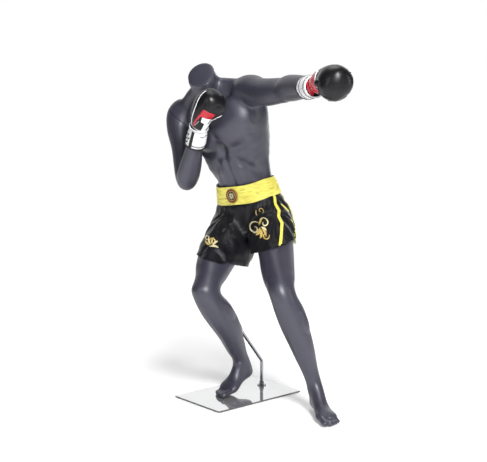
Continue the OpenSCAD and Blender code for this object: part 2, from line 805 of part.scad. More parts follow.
// The cloth, open at the waist and at both hems
module cloth() {
    difference() {
        bags(0);
        trunk(seat_grow - cloth_thick);
        bag(right_bag_stations, -cloth_thick);
        bag(left_bag_stations, -cloth_thick);
        limb(right_thigh_stations, skin_play, leg_power);
        limb(left_leg_stations, leg_play, leg_power);
        right_hem_cut();
        left_hem_cut();
        beyond(band_low - waist_axis * band_play, waist_axis);
    }
}
stripe_place = 104;
// Everything past the two hems
module right_hem_cut() { beyond(right_hem, right_hem_down, right_hem_reach, right_hem_reach / 2); }
module left_hem_cut() { beyond(left_hem, left_hem_down, left_hem_reach, left_hem_reach / 2); }
module median(side) { beyond(pelvis + side * 0.1 * unit(trunk_side_low), side * unit(trunk_side_low)); }
module shorts_right_panel() { color(BLACK) one_skin() intersection() { cloth(); median(-1); } }
module shorts_left_panel() { color(BLACK) one_skin() intersection() { cloth(); median(1); } }
module raised_cloth(low, high) {
    difference() {
        bags(high);
        bags(low);
        limb(left_leg_stations, leg_play, leg_power);
        left_hem_cut();
        beyond(band_low - waist_axis * 2 * band_play, waist_axis);
    }
}
// A block in the pelvis's own directions: to the left, back and up
module pelvis_block(low, high) {
    place(pelvis, UP, -FRONT) translate(low) cube(high - low);
}
module shorts_front_stripe() {
    color(YELLOW) one_skin() intersection() {
        raised_cloth(0.3, 1.5);
        pelvis_block([stripe_place, -260, -118], [stripe_place + stripe_width, -30, 140]);
    }
}
module shorts_side_stripe() {
    color(YELLOW) one_skin() intersection() {
        raised_cloth(0.3, 1.5);
        pelvis_block([100, -stripe_width / 2, -105], [360, stripe_width / 2, 140]);
    }
}
slit_trim_height = 14;
module shorts_slit_trim() {
    color(YELLOW) one_skin() intersection() {
        raised_cloth(1.8, 3);
        beyond(left_hem - slit_trim_height * left_hem_down, left_hem_down, left_hem_reach, 60);
        pelvis_block([100, -70, -260], [360, 90, 140]);
    }
}
module band(outer, inner) {
    one_skin() difference() {
        trunk(outer);
        trunk(inner);
        beyond(band_high, waist_axis);
        beyond(band_low, -waist_axis);
    }
}
module waistband() { color(YELLOW) band(10, 5.2); }
module waist_elastic() {
    color(WHITE) one_skin() difference() {
        band(4.8, 2);
        beyond(band_high - waist_axis * 6, waist_axis);
        beyond(band_low + waist_axis * 6, -waist_axis);
    }
}
// From the middle of the band to the badge, just clear of the band's face
badge_reach = 106;
badge_thick = 2.4;
module waist_badge() {
    front = unit(square_part(trunk_front_low, waist_axis));
    color(MAROON) place(band_middle + front * badge_reach, front, waist_axis)
        cylinder(d = badge_d, h = badge_thick, $fn = FINE);
}

// ---------------------------------------------------------------- drawing

base_underlay();
base_plate();
base_bolt();
rod_flange();
rod_set_screw();
calf_rod();
pelvis_shell();
right_leg_shell();
calf_socket();
waist_socket();
left_hip_socket();
shorts_right_panel();
shorts_left_panel();
shorts_front_stripe();
shorts_side_stripe();
shorts_slit_trim();
waistband();
waist_elastic();
waist_badge();
left_leg_shell();
left_hip_spigot();
torso_shell();
waist_spigot();
left_shoulder_socket();
right_shoulder_socket();
neck_ring();
neck_cap();
left_arm_shell();
left_shoulder_spigot();
left_wrist_socket();
right_arm_shell();
right_shoulder_spigot();
right_wrist_socket();
left_fist();
left_wrist_peg();
left_glove_padding();
left_glove_thumb();
left_glove_patch();
left_glove_cuff();
left_glove_strap();
left_glove_trim();
right_fist();
right_wrist_peg();
right_glove_padding();
right_glove_thumb();
right_glove_patch();
right_glove_cuff();
right_glove_strap();
right_glove_trim();
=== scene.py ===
# Headless boxing mannequin on a polished plate, with gloves and trunks.
# Left and right are the figure's own. It faces -X and punches towards -Y. Lengths are in metres
# in Blender; station lists are in millimetres, as in the part's source.
import json
import math

import bmesh
import bpy
import numpy as np
from mathutils import Matrix, Vector
from mathutils.bvhtree import BVHTree


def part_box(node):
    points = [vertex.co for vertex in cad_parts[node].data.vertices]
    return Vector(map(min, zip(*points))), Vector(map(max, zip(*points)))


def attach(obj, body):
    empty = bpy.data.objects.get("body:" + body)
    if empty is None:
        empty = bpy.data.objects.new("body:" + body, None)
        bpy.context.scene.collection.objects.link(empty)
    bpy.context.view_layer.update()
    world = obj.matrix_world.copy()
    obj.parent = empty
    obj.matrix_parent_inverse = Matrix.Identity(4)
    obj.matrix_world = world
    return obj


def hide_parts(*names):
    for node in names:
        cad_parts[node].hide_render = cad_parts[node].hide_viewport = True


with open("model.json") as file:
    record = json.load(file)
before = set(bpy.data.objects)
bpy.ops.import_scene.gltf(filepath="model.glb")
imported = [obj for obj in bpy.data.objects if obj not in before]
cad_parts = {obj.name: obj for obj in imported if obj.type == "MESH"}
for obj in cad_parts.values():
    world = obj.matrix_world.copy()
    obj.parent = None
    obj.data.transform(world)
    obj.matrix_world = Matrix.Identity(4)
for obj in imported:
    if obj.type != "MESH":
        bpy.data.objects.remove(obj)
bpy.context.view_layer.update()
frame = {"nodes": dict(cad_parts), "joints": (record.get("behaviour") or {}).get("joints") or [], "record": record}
nodes = frame["nodes"]
MM = 0.001
FOCAL_PIXELS, SENSOR_WIDTH, IMAGE_WIDTH = 946.4, 36, 487
JOINTS = {j["name"]: j for j in frame["joints"]}

# ------------------------------------------------------------------ camera
camera_data = bpy.data.cameras.new("camera")
camera = bpy.data.objects.new("camera", camera_data)
bpy.context.scene.collection.objects.link(camera)
bpy.context.scene.camera = camera
camera.location = (-2.493, -2.918, 1.137)
camera.rotation_euler = (math.radians(83.32), 0, math.radians(-40.83))
camera_data.lens = FOCAL_PIXELS * SENSOR_WIDTH / IMAGE_WIDTH
camera_data.clip_end = 60
bpy.context.scene.view_settings.view_transform = "Standard"


# ------------------------------------------------------------------ vectors and meshes
def arr(*v):
    return np.array(v, float)


def unit(v):
    v = np.asarray(v, float)
    return v / np.linalg.norm(v)


def square_part(v, axis):
    return v - axis * float(v @ axis)


def step_up(x, low, high):
    """Smooth 0 to 1 as x goes from low to high."""
    t = np.clip((x - low) / (high - low), 0, 1)
    return t * t * (3 - 2 * t)


def round_angles(sides):
    """Even angles round a circle, in radians."""
    return np.arange(sides) * 2 * math.pi / sides


def squarer(c, power):
    """Cosines or sines of an oval drawn squarer; power 1 leaves it round."""
    return np.sign(c) * np.abs(c) ** power


def smoothed(rows, steps):
    """Catmull-Rom rows between the given ones."""
    rows = np.array(rows, float)
    last = len(rows) - 1
    t = np.linspace(0, last, last * steps + 1)
    i = np.minimum(t.astype(int), last - 1)
    f = (t - i)[:, None]
    p = np.vstack([rows[:1], rows, rows[-1:]])
    a, b, c, d = p[i], p[i + 1], p[i + 2], p[i + 3]
    return 0.5 * (2 * b + (c - a) * f + (2 * a - 5 * b + 4 * c - d) * f**2 + (3 * b - a - 3 * c + d) * f**3)


def grid_faces(rows, columns, closed=True):
    """Quads over a grid of rows and columns; closed joins the last column to the first."""
    wide = columns if closed else columns - 1
    k, i = np.meshgrid(np.arange(rows - 1), np.arange(wide), indexing="ij")
    a = k * columns + i
    b = k * columns + (i + 1) % columns
    return np.stack([a, b, b + columns, a + columns], -1).reshape(-1, 4).tolist()


def loop_faces(rows, columns):
    """Quads over a grid that closes both ways."""
    last = (rows - 1) * columns
    return grid_faces(rows, columns) + [
        [last + i, last + (i + 1) % columns, (i + 1) % columns, i] for i in range(columns)]


def capped(rings):
    """Verts in metres and faces of a closed tube over an array of rings in millimetres."""
    rows, columns = rings.shape[:2]
    verts = np.vstack([rings.reshape(-1, 3), rings[0].mean(0), rings[-1].mean(0)])
    faces = grid_faces(rows, columns)
    low, high = len(verts) - 2, len(verts) - 1
    base = (rows - 1) * columns
    for i in range(columns):
        j = (i + 1) % columns
        faces.append([low, j, i])
        faces.append([high, base + i, base + j])
    return verts * MM, faces


def section(rows, k, ref_a, ref_b, share=1):
    """Side and front directions at a row of stations.
    The front turns from ref_a a share of the way to ref_b over the rows."""
    last = len(rows) - 1
    along = unit(rows[min(k + 1, last), :3] - rows[max(k - 1, 0), :3])
    front = unit(square_part(ref_a + (ref_b - ref_a) * k / last * share, along))
    return np.cross(along, front), front


def loft(stations, ref_a, ref_b, sides=96, steps=8, grow=0, power=1.0, relief=None):
    """A closed skin through stations [x, y, z, two sides, front, back]; relief adds height in mm.
    relief(lat, fr, along, t): distances from the middle to the first side and to the front."""
    rows = smoothed(stations, steps)
    last = len(rows) - 1
    cx, sy = np.cos(round_angles(sides)), np.sin(round_angles(sides))
    x, y = squarer(cx, power), squarer(sy, power)
    rings = []
    for k, s in enumerate(rows):
        side, front = section(rows, k, ref_a, ref_b)
        hx = np.where(x >= 0, s[3], s[4]) + grow
        hy = np.where(y >= 0, s[5], s[6]) + grow
        ring = s[:3] + np.outer(x * hx, side) + np.outer(y * hy, front)
        if relief is not None:
            out = np.outer(cx / hx, side) + np.outer(sy / hy, front)
            out /= np.linalg.norm(out, axis=1)[:, None]
            ring = ring + out * relief(x * hx, y * hy, s[:3], k / last * (len(stations) - 1))[:, None]
        rings.append(ring)
    return capped(np.array(rings))


def ellipsoid(centre, halves, axes=None, sides=40, rows=24):
    """A closed ellipsoid, in millimetres, whose half sizes lie along the rows of axes."""
    axes = np.eye(3) if axes is None else np.array([unit(a) for a in axes])
    pole = 0.02
    t = np.linspace(pole, math.pi - pole, rows)
    a = round_angles(sides)
    rings = [
        np.array(centre) + (np.outer(np.cos(a) * math.sin(v), axes[0]) * halves[0]
                            + np.outer(np.sin(a) * math.sin(v), axes[1]) * halves[1]
                            - math.cos(v) * axes[2] * halves[2])
        for v in t]
    return capped(np.array(rings))


def frames(line):
    """Tangent, side and up directions along a polyline, turning as little as they can."""
    line = np.asarray(line, float)
    tangent = np.gradient(line, axis=0)
    tangent /= np.linalg.norm(tangent, axis=1)[:, None]
    up = unit(square_part(arr(0.1, 0.2, 1) if abs(tangent[0][2]) < 0.9 else arr(1, 0.1, 0), tangent[0]))
    ups = []
    for t in tangent:
        up = unit(square_part(up, t))
        ups.append(up)
    ups = np.array(ups)
    return tangent, np.cross(tangent, ups), ups


def spindle(points, radii, sides=24, steps=6, flat=1.0):
    """A closed round form along points, with a radius at each; flat scales one of its directions."""
    rows = smoothed(np.column_stack([np.array(points, float), radii]), steps)
    _, side, up = frames(rows[:, :3])
    a = round_angles(sides)
    rings = [r[:3] + r[3] * (np.outer(np.cos(a), s) + flat * np.outer(np.sin(a), u))
             for r, s, u in zip(rows, side, up)]
    return capped(np.array(rings))


def mesh_object(name, verts, faces, smooth=True):
    mesh = bpy.data.meshes.new(name)
    mesh.from_pydata(np.asarray(verts).tolist(), [], faces)
    mesh.update()
    mesh.polygons.foreach_set("use_smooth", [smooth] * len(mesh.polygons))
    piece = bpy.data.objects.new(name, mesh)
    bpy.context.scene.collection.objects.link(piece)
    return piece


def merged(name, parts):
    """One object from several lists of verts and faces."""
    verts, faces, start = [], [], 0
    for v, f in parts:
        verts.append(np.asarray(v))
        faces += [[i + start for i in face] for face in f]
        start += len(v)
    return mesh_object(name, np.vstack(verts), faces)


def vertex_values(piece, name):
    values = np.empty(len(piece.data.vertices) * 3)
    piece.data.vertices.foreach_get(name, values)
    return values.reshape(-1, 3)


def coords(piece):
    return vertex_values(piece, "co")


def set_coords(piece, co):
    piece.data.vertices.foreach_set("co", np.asarray(co).ravel())
    piece.data.update()


def normals(piece):
    return vertex_values(piece, "normal")


def copied(piece, name):
    copy = bpy.data.objects.new(name, piece.data.copy())
    bpy.context.scene.collection.objects.link(copy)
    return copy


def apply_modifiers(piece):
    bpy.context.view_layer.update()
    result = bpy.data.meshes.new_from_object(
        piece.evaluated_get(bpy.context.evaluated_depsgraph_get()))
    piece.modifiers.clear()
    piece.data = result
    return piece


def modified(piece, kind, **settings):
    """Apply one modifier of a kind, with its settings."""
    modifier = piece.modifiers.new(kind.lower(), kind)
    for key, value in settings.items():
        setattr(modifier, key, value)
    return apply_modifiers(piece)


def remeshed(piece, voxel):
    return modified(piece, "REMESH", mode="VOXEL", voxel_size=voxel * MM, use_smooth_shade=True)


def subdivided(piece):
    return modified(piece, "SUBSURF", levels=1)


def thickened(piece, depth, offset=-1):
    return modified(piece, "SOLIDIFY", thickness=depth * MM, offset=offset, use_even_offset=False)


def evened(piece, rounds, gains, keep=None):
    """Move points towards the middle of their neighbours by each gain; keep is 1 where they may move."""
    co = coords(piece)
    edges = np.empty(len(piece.data.edges) * 2, int)
    piece.data.edges.foreach_get("vertices", edges)
    a, b = edges.reshape(-1, 2).T
    count = np.bincount(a, minlength=len(co)) + np.bincount(b, minlength=len(co))
    weight = np.ones(len(co)) if keep is None else keep
    weight = weight * (count > 0)
    count = np.maximum(count, 1)
    for gain in gains * rounds:
        total = np.column_stack([
            np.bincount(a, co[b, i], len(co)) + np.bincount(b, co[a, i], len(co)) for i in range(3)])
        co = co + gain * weight[:, None] * (total / count[:, None] - co)
    set_coords(piece, co)
    return piece


def relaxed(piece, rounds):
    """Smooth a mesh without shrinking it."""
    return evened(piece, rounds, (0.55, -0.57))


def softened(piece, rounds, keep=None):
    """Plain smoothing that rounds edges off."""
    return evened(piece, rounds, (0.5,), keep)


def near(piece, *spots):
    """1 at the middle of any spot (point in mm, radius in mm), falling to 0 at its radius."""
    co = coords(piece) / MM
    weight = np.zeros(len(co))
    for point, radius in spots:
        away = np.linalg.norm(co - np.array(point), axis=1)
        weight = np.maximum(weight, 1 - step_up(away, radius * 0.45, radius))
    return weight


def pushed_off(piece, skin, gap, search=40):
    """Move the points that are inside or too near a skin, at most search mm away, out to gap mm from it."""
    co = coords(piece)
    for i, p in enumerate(co):
        hit, normal, _, _ = skin.find_nearest(Vector(p), search * MM)
        if hit is not None and (Vector(p) - hit).dot(normal) < gap * MM:
            co[i] = hit + normal * gap * MM
    set_coords(piece, co)
    return piece


def cut(piece, point, axis, fill=True, where=None):
    """Take away what lies past a plane (point in mm), and close the cut with a flat face."""
    bm = bmesh.new()
    bm.from_mesh(piece.data)
    geometry = bm.verts[:] + bm.edges[:] + bm.faces[:]
    if where is not None:
        chosen = [f for f in bm.faces if where(np.array(f.calc_center_median()) / MM)]
        # in the mesh's own order, because the order of a set changes from run to run
        geometry = sorted({v for f in chosen for v in f.verts}, key=lambda v: v.index)
        geometry += sorted({e for f in chosen for e in f.edges}, key=lambda e: e.index) + chosen
    result = bmesh.ops.bisect_plane(
        bm, geom=geometry, dist=1e-6, plane_co=Vector(point) * MM, plane_no=Vector(axis), clear_outer=True)
    if fill:
        rim = [e for e in result["geom_cut"] if isinstance(e, bmesh.types.BMEdge)]
        made = bmesh.ops.holes_fill(bm, edges=rim, sides=0)["faces"]
        for face in made:
            face.smooth = False
            for e in face.edges:
                e.smooth = False
    bm.to_mesh(piece.data)
    bm.free()
    piece.data.update()
    return piece


def carved(piece, cutter):
    """Take a closed form away from a piece."""
    modified(piece, "BOOLEAN", solver="MANIFOLD", operation="DIFFERENCE", object=cutter)
    bpy.data.objects.remove(cutter)
    return piece


def largest_only(piece):
    """Take away every island of a mesh but the one with the most points."""
    bm = bmesh.new()
    bm.from_mesh(piece.data)
    islands, seen = [], set()
    for start in bm.verts:
        if start in seen:
            continue
        group, queue = [], [start]
        seen.add(start)
        while queue:
            vert = queue.pop()
            group.append(vert)
            for e in vert.link_edges:
                other = e.other_vert(vert)
                if other not in seen:
                    seen.add(other)
                    queue.append(other)
        islands.append(group)
    islands.sort(key=len)
    for group in islands[:-1]:
        bmesh.ops.delete(bm, geom=group, context="VERTS")
    bm.to_mesh(piece.data)
    bm.free()
    return piece


def tree(piece):
    """Surface look-up of a mesh whose object sits at the origin."""
    bm = bmesh.new()
    bm.from_mesh(piece.data)
    found = BVHTree.FromBMesh(bm)
    bm.free()
    return found


def noise(p, seed=0.0):
    """Soft repeatable noise between about -1 and 1 for points in units of its own size."""
    p = np.asarray(p, float) + seed * 7.31
    x, y, z = p[..., 0], p[..., 1], p[..., 2]
    return (np.sin(1.7 * x + 1.3 * np.sin(2.1 * y + 0.7 * z)) * np.cos(1.9 * y - 1.1 * np.sin(1.6 * z + x))
            + 0.5 * np.sin(3.1 * z + 1.7 * np.sin(2.7 * x - y)) * np.cos(2.3 * x + 2.9 * y)) / 1.5


# ------------------------------------------------------------------ materials
class Nodes:
    """A few words for building a node material."""

    def __init__(self, name):
        self.material = bpy.data.materials.new(name)
        self.material.use_nodes = True
        self.tree = self.material.node_tree
        self.shader = self.tree.nodes["Principled BSDF"]
        self.place = self.new("ShaderNodeTexCoord").outputs["Object"]

    def new(self, kind, **values):
        made = self.tree.nodes.new(kind)
        for key, value in values.items():
            if hasattr(made, key):
                setattr(made, key, value)
            else:
                made.inputs[key.replace("_", " ")].default_value = value
        return made

    def link(self, a, b):
        self.tree.links.new(a, b)

    def set(self, **values):
        for key, value in values.items():
            self.shader.inputs[key.replace("_", " ")].default_value = value
        return self

    def scaled(self, x, y, z):
        made = self.new("ShaderNodeMapping")
        made.inputs["Scale"].default_value = (x, y, z)
        self.link(self.place, made.inputs["Vector"])
        return made.outputs["Vector"]

    def noise(self, scale, detail=4, rough=0.5, vector=None):
        made = self.new("ShaderNodeTexNoise", Scale=scale, Detail=detail, Roughness=rough)
        self.link(vector or self.place, made.inputs["Vector"])
        return made.outputs["Fac"]

    def cells(self, scale):
        made = self.new("ShaderNodeTexVoronoi", feature="DISTANCE_TO_EDGE", Scale=scale)
        self.link(self.place, made.inputs["Vector"])
        return made.outputs["Distance"]

    def waves(self, scale, direction="X", distortion=0.0):
        made = self.new("ShaderNodeTexWave", bands_direction=direction, Scale=scale, Distortion=distortion)
        self.link(self.place, made.inputs["Vector"])
        return made.outputs["Fac"]

    def product(self, a, b):
        made = self.new("ShaderNodeMath", operation="MULTIPLY")
        for socket, value in zip(made.inputs, (a, b)):
            self.link(value, socket)
        return made.outputs[0]

    def span(self, value, low, high, out_low, out_high):
        made = self.new("ShaderNodeMapRange")
        self.link(value, made.inputs["Value"])
        for key, number in (("From Min", low), ("From Max", high), ("To Min", out_low), ("To Max", out_high)):
            made.inputs[key].default_value = number
        return made.outputs["Result"]

    def mix(self, factor, a, b):
        made = self.new("ShaderNodeMix", data_type="RGBA")
        self.link(factor, made.inputs["Factor"])
        for socket, value in ((made.inputs[6], a), (made.inputs[7], b)):
            if isinstance(value, tuple):
                socket.default_value = (*value, 1)
            else:
                self.link(value, socket)
        return made.outputs[2]

    def colour(self, source):
        self.link(source, self.shader.inputs["Base Color"])
        return self

    def roughness(self, source):
        self.link(source, self.shader.inputs["Roughness"])
        return self

    def worn(self, scale, detail, low, high, edge=0.3):
        """Roughness that wanders between two values."""
        return self.roughness(self.span(self.noise(scale, detail), edge, 1 - edge, low, high))

    def bump(self, *heights):
        """Each height is (source, distance in metres); they stack."""
        normal = None
        for source, distance in heights:
            made = self.new("ShaderNodeBump", Strength=1.0, Distance=distance)
            self.link(source, made.inputs["Height"])
            if normal:
                self.link(normal, made.inputs["Normal"])
            normal = made.outputs["Normal"]
        self.link(normal, self.shader.inputs["Normal"])
        return self


def lacquer():
    n = Nodes("body_lacquer")
    broad, fine = n.noise(9, 3), n.noise(260, 3)
    n.colour(n.mix(broad, (0.029, 0.028, 0.044), (0.035, 0.034, 0.052)))
    n.worn(38, 5, 0.42, 0.49)
    n.bump((fine, 0.00003), (n.noise(42, 2), 0.0001))
    return n.set(Coat_Weight=0.1, Coat_Roughness=0.3, Specular_IOR_Level=0.85,
                 Specular_Tint=(0.92, 0.92, 1.0, 1)).material


def leather(name, dark, light, gloss=0.26, grain=0.000012, level=0.5):
    n = Nodes(name)
    cell, broad = n.cells(420), n.noise(24, 4)
    n.colour(n.mix(broad, dark, light))
    n.worn(70, 5, gloss - 0.05, gloss + 0.09, 0.25)
    n.bump((n.span(cell, 0, 0.45, 0, 1), grain), (n.noise(900, 2), grain * 0.4), (broad, 0.00005))
    return n.set(Coat_Weight=0.05, Coat_Roughness=0.3, Specular_IOR_Level=level).material


def cloth(name, dark, light, thread=1500, sheen=0.25, rough=(0.34, 0.5), drape=0.0006, level=0.5):
    n = Nodes(name)
    warp, weft = n.waves(thread, "X"), n.waves(thread * 0.9, "Z")
    weave = n.product(warp, weft)
    broad = n.noise(16, 4)
    n.colour(n.mix(n.span(broad, 0.3, 0.7, 0, 1), dark, light))
    n.worn(55, 4, *rough)
    n.bump((weave, 0.00012), (n.noise(36, 4, 0.6, n.scaled(1, 1, 0.35)), drape))
    return n.set(Sheen_Weight=sheen, Sheen_Roughness=0.35, Specular_IOR_Level=level).material


def ruched(name, crease, plain, bright):
    """Gathered satin: short creases that run along the band, in the bump and as painted shade, a darker crease
    colour laid along them.
    """
    n = Nodes(name)
    lines = n.noise(70, 4, 0.6, n.scaled(0.35, 0.35, 2.2))
    broad = n.noise(14, 3)
    body = n.mix(n.span(broad, 0.35, 0.65, 0, 1), plain, bright)
    # painted shade: the crease colour darkens the satin along the lines of the gathers, where shade would fall
    n.colour(n.mix(n.span(lines, 0.3, 0.46, 0, 1), crease, body))
    n.worn(55, 4, 0.3, 0.45)
    n.bump((lines, 0.0016), (n.waves(1500, "X"), 0.00008))
    return n.set(Sheen_Weight=0.15, Sheen_Roughness=0.35).material


def metal(name, colour, rough, streak=0.0, fine=400, metallic=1.0):
    n = Nodes(name)
    wear = n.noise(fine, 3, 0.5, n.scaled(1, 1, 0.08) if streak else None)
    n.colour(n.mix(n.noise(12, 3), tuple(c * 0.93 for c in colour), colour))
    n.roughness(n.span(wear, 0.3, 0.7, rough, rough + 0.05 + streak))
    n.bump((wear, 0.00002 + streak * 0.0001))
    return n.set(Metallic=metallic).material


def rubber(name, colour):
    n = Nodes(name)
    n.colour(n.mix(n.noise(60, 4), colour, tuple(c * 1.8 for c in colour)))
    n.worn(200, 2, 0.62, 0.78)
    n.bump((n.noise(1200, 2), 0.0001))
    return n.material


def thread(name, colour, light):
    n = Nodes(name)
    n.colour(n.mix(n.noise(300, 3), colour, light))
    n.worn(500, 2, 0.35, 0.55)
    n.bump((n.waves(2400, "Z", 2.0), 0.0002))
    return n.set(Sheen_Weight=0.2, Sheen_Roughness=0.3).material


LOOKS = {
    "body_grey": lacquer(),
    "mirror_plate": metal("mirror", (0.93, 0.935, 0.94), 0.02, metallic=0.86),
    "chrome": metal("chrome", (0.40, 0.41, 0.43), 0.10),
    "dark_steel": metal("dark_steel", (0.16, 0.16, 0.17), 0.35, 0.05),
    "fitting": metal("zinc", (0.62, 0.62, 0.63), 0.3, 0.1),
    "underlay": rubber("underlay", (0.03, 0.03, 0.032)),
    "black_satin": cloth("black_satin", (0.005, 0.005, 0.007), (0.010, 0.010, 0.013),
                         sheen=0.05, rough=(0.3, 0.42), level=0.26),
    # the first of these yellows is the painted shade of the gathers' creases
    "yellow_satin": ruched("yellow_satin", (0.50, 0.40, 0.04), (0.76, 0.68, 0.10), (0.86, 0.80, 0.17)),
    "yellow_trim": cloth("yellow_trim", (0.82, 0.76, 0.08), (0.90, 0.84, 0.12), rough=(0.4, 0.55)),
    "elastic": cloth("elastic", (0.72, 0.72, 0.70), (0.82, 0.82, 0.80), rough=(0.7, 0.85)),
    "badge": cloth("badge_cloth", (0.10, 0.014, 0.012), (0.16, 0.028, 0.022),
                   sheen=0.1, rough=(0.6, 0.75), level=0.25),
    "black_leather": leather("black_leather", (0.005, 0.005, 0.006), (0.008, 0.008, 0.010), 0.31, level=0.28),
    "red_leather": leather("red_leather", (0.38, 0.008, 0.020), (0.52, 0.020, 0.036)),
    "white_leather": leather("white_leather", (0.78, 0.78, 0.79), (0.88, 0.88, 0.89), 0.3),
    "strap": leather("strap_leather", (0.72, 0.72, 0.74), (0.84, 0.84, 0.86), 0.34),
    "glove_trim": leather("trim_leather", (0.010, 0.010, 0.011), (0.022, 0.022, 0.024), 0.36, level=0.3),
    "gold_thread": thread("gold_thread", (0.50, 0.33, 0.06), (0.78, 0.60, 0.20)),
    "pale_thread": thread("pale_thread", (0.70, 0.62, 0.30), (0.88, 0.80, 0.50)),
    "dark_mark": leather("dark_mark", (0.012, 0.012, 0.014), (0.022, 0.021, 0.024), 0.45, level=0.2),
}

SLOT_OF = {s["node"]: s["material_slot"] for s in frame["record"]["subparts"]}
for name, node in nodes.items():
    node.data.materials.clear()
    node.data.materials.append(LOOKS[SLOT_OF[name]])


def finish_piece(piece, body, slot, look=None, replaces=()):
    """Give a piece its material, by its look or else its slot, and its body, and hide the CAD nodes it stands for.
    """
    tidy = bmesh.new()
    tidy.from_mesh(piece.data)
    bmesh.ops.delete(tidy, geom=[v for v in tidy.verts if not v.link_faces], context="VERTS")
    tidy.to_mesh(piece.data)
    tidy.free()
    piece.data.materials.clear()
    piece.data.materials.append(LOOKS[look or slot])
    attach(piece, body)
    if replaces:
        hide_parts(*replaces)
    return piece


# ------------------------------------------------------------------ body: stations (mm) and axes
UP = arr(0, 0, 1)
FRONT = arr(-1, -0.15, 0)
SHELL_GAP, ARM_ROOM = 0.8, 1.2
TRUNK = [
    [124, 60, 745, 150, 150, 96, 108], [116, 62, 800, 139, 139, 94, 96], [103, 65, 855, 124, 124, 90, 86],
    [88, 69, 906, 115, 115, 86, 82], [66, 79, 980, 138, 133, 96, 90], [44, 88, 1056, 168, 145, 109, 102],
    [22, 100, 1131, 201, 152, 116, 110], [4, 112, 1166, 202, 154, 108, 104],
    [-10, 126, 1194, 180, 152, 90, 90], [-24, 132, 1224, 112, 108, 68, 74], [-44, 128, 1250, 66, 66, 56, 60],
    [-72, 118, 1282, 57, 57, 54, 55], [-105, 105, 1312, 56, 56, 52, 54]]
TRUNK_SIDE_LOW = arr(0.16, -0.975, 0.15)
TRUNK_SIDE_HIGH = arr(0.15, -0.955, 0.26)
TRUNK_FRONT_LOW = np.cross(TRUNK_SIDE_LOW, UP)
TRUNK_FRONT_HIGH = np.cross(TRUNK_SIDE_HIGH, unit([-0.277, 0.159, 0.948]))
RIGHT_THIGH = [
    [128, 150, 762, 66, 70, 66, 80], [106, 148, 705, 80, 80, 80, 94], [40, 110, 655, 77, 77, 80, 87],
    [-55, 62, 582, 70, 68, 75, 74], [-135, 14, 512, 59, 57, 63, 57], [-180, -14, 472, 51, 51, 53, 44],
    [-208, -30, 452, 26, 26, 30, 22]]
RIGHT_SHANK = [
    [-202, -28, 504, 26, 26, 22, 26], [-196, -25, 482, 44, 44, 42, 42], [-184, -20, 446, 53, 53, 52, 51],
    [-160, -19, 402, 54, 55, 46, 59], [-115, -16, 346, 52, 53, 45, 62], [-61, -7, 280, 49, 51, 42, 59],
    [-9, 11, 205, 39, 40, 37, 43], [32, 22, 148, 34, 35, 36, 36], [52, 26, 116, 32, 34, 36, 35],
    [64, 28, 92, 24, 24, 26, 24]]
LEFT_LEG = [
    [152, -24, 790, 60, 62, 64, 78], [135, -46, 728, 75, 75, 78, 92], [97, -105, 676, 72, 70, 76, 82],
    [44, -181, 605, 63, 60, 71, 69], [-5, -254, 538, 56, 52, 61, 57], [-40, -307, 486, 52, 49, 55, 49],
    [-34, -322, 432, 53, 49, 46, 55], [-10, -332, 362, 52, 50, 45, 61], [20, -345, 285, 47, 45, 42, 53],
    [48, -358, 200, 37, 35, 36, 41], [68, -368, 132, 32, 31, 34, 36], [78, -370, 88, 30, 29, 32, 34],
    [82, -370, 52, 24, 24, 24, 26]]
RIGHT_FOOT = [
    [99, 33, 92, 17, 17, 20, 20], [88, 31, 88, 28, 28, 34, 32], [62, 28, 82, 32, 32, 44, 33],
    [22, 23, 66, 35, 35, 44, 25], [-12, 18, 50, 41, 41, 30, 23], [-40, 14, 37, 45, 43, 19, 25],
    [-60, 12, 25, 38, 36, 11, 13]]
LEFT_FOOT = [
    [107, -331, 33, 16, 15, 20, 20], [100, -343, 35, 24, 21, 34, 32], [89, -365, 37, 27, 24, 42, 34],
    [67, -408, 35, 31, 29, 42, 30], [42, -449, 29, 38, 38, 28, 26], [22, -484, 24, 42, 43, 18, 22],
    [8, -510, 16, 36, 38, 11, 13]]
LEFT_ARM = [
    [36, 14, 1240, 50, 50, 44, 44], [20, -30, 1250, 63, 63, 62, 64], [2, -84, 1254, 59, 58, 57, 61],
    [-18, -150, 1247, 53, 49, 50, 51], [-38, -232, 1245, 50, 46, 48, 47], [-62, -330, 1248, 45, 43, 44, 43],
    [-76, -366, 1250, 45, 46, 44, 44], [-100, -418, 1252, 47, 48, 46, 46], [-136, -502, 1252, 41, 42, 40, 40],
    [-168, -574, 1250, 33, 33, 32, 32], [-186, -612, 1250, 29, 29, 28, 28]]
RIGHT_UPPER_ARM = [
    [-32, 286, 1200, 46, 44, 44, 44], [-43, 314, 1162, 60, 58, 59, 60], [-60, 298, 1098, 59, 51, 57, 56],
    [-80, 262, 1020, 49, 44, 48, 48], [-98, 228, 950, 45, 43, 47, 45], [-116, 196, 888, 40, 40, 42, 38],
    [-121, 186, 864, 26, 26, 28, 24]]
RIGHT_FOREARM = [
    [-117, 195, 854, 22, 22, 24, 20], [-120, 186, 876, 38, 38, 40, 34], [-128, 163, 918, 45, 45, 44, 40],
    [-139, 129, 970, 41, 41, 40, 38], [-156, 85, 1036, 32, 32, 32, 32], [-169, 50, 1086, 29, 29, 28, 28],
    [-173, 39, 1102, 27, 27, 26, 26]]
WAIST = arr(100, 66, 872)
WAIST_AXIS = unit([-0.14, 0.095, 0.985])
RIGHT_WRIST = arr(-169, 50, 1086)
LEFT_WRIST = arr(-180, -600, 1250)
RIGHT_ELBOW, LEFT_ELBOW = arr(-120, 188, 871), arr(-67, -356, 1248)
NECK_TOP = arr(-105, 105, 1318)
NECK_AXIS = unit([-0.74, -0.34, 0.58])


def joint_plane(name):
    """Point in mm and axis of a joint of the record."""
    return np.array(JOINTS[name]["pos_m"]) / MM, unit(JOINTS[name]["axis"])


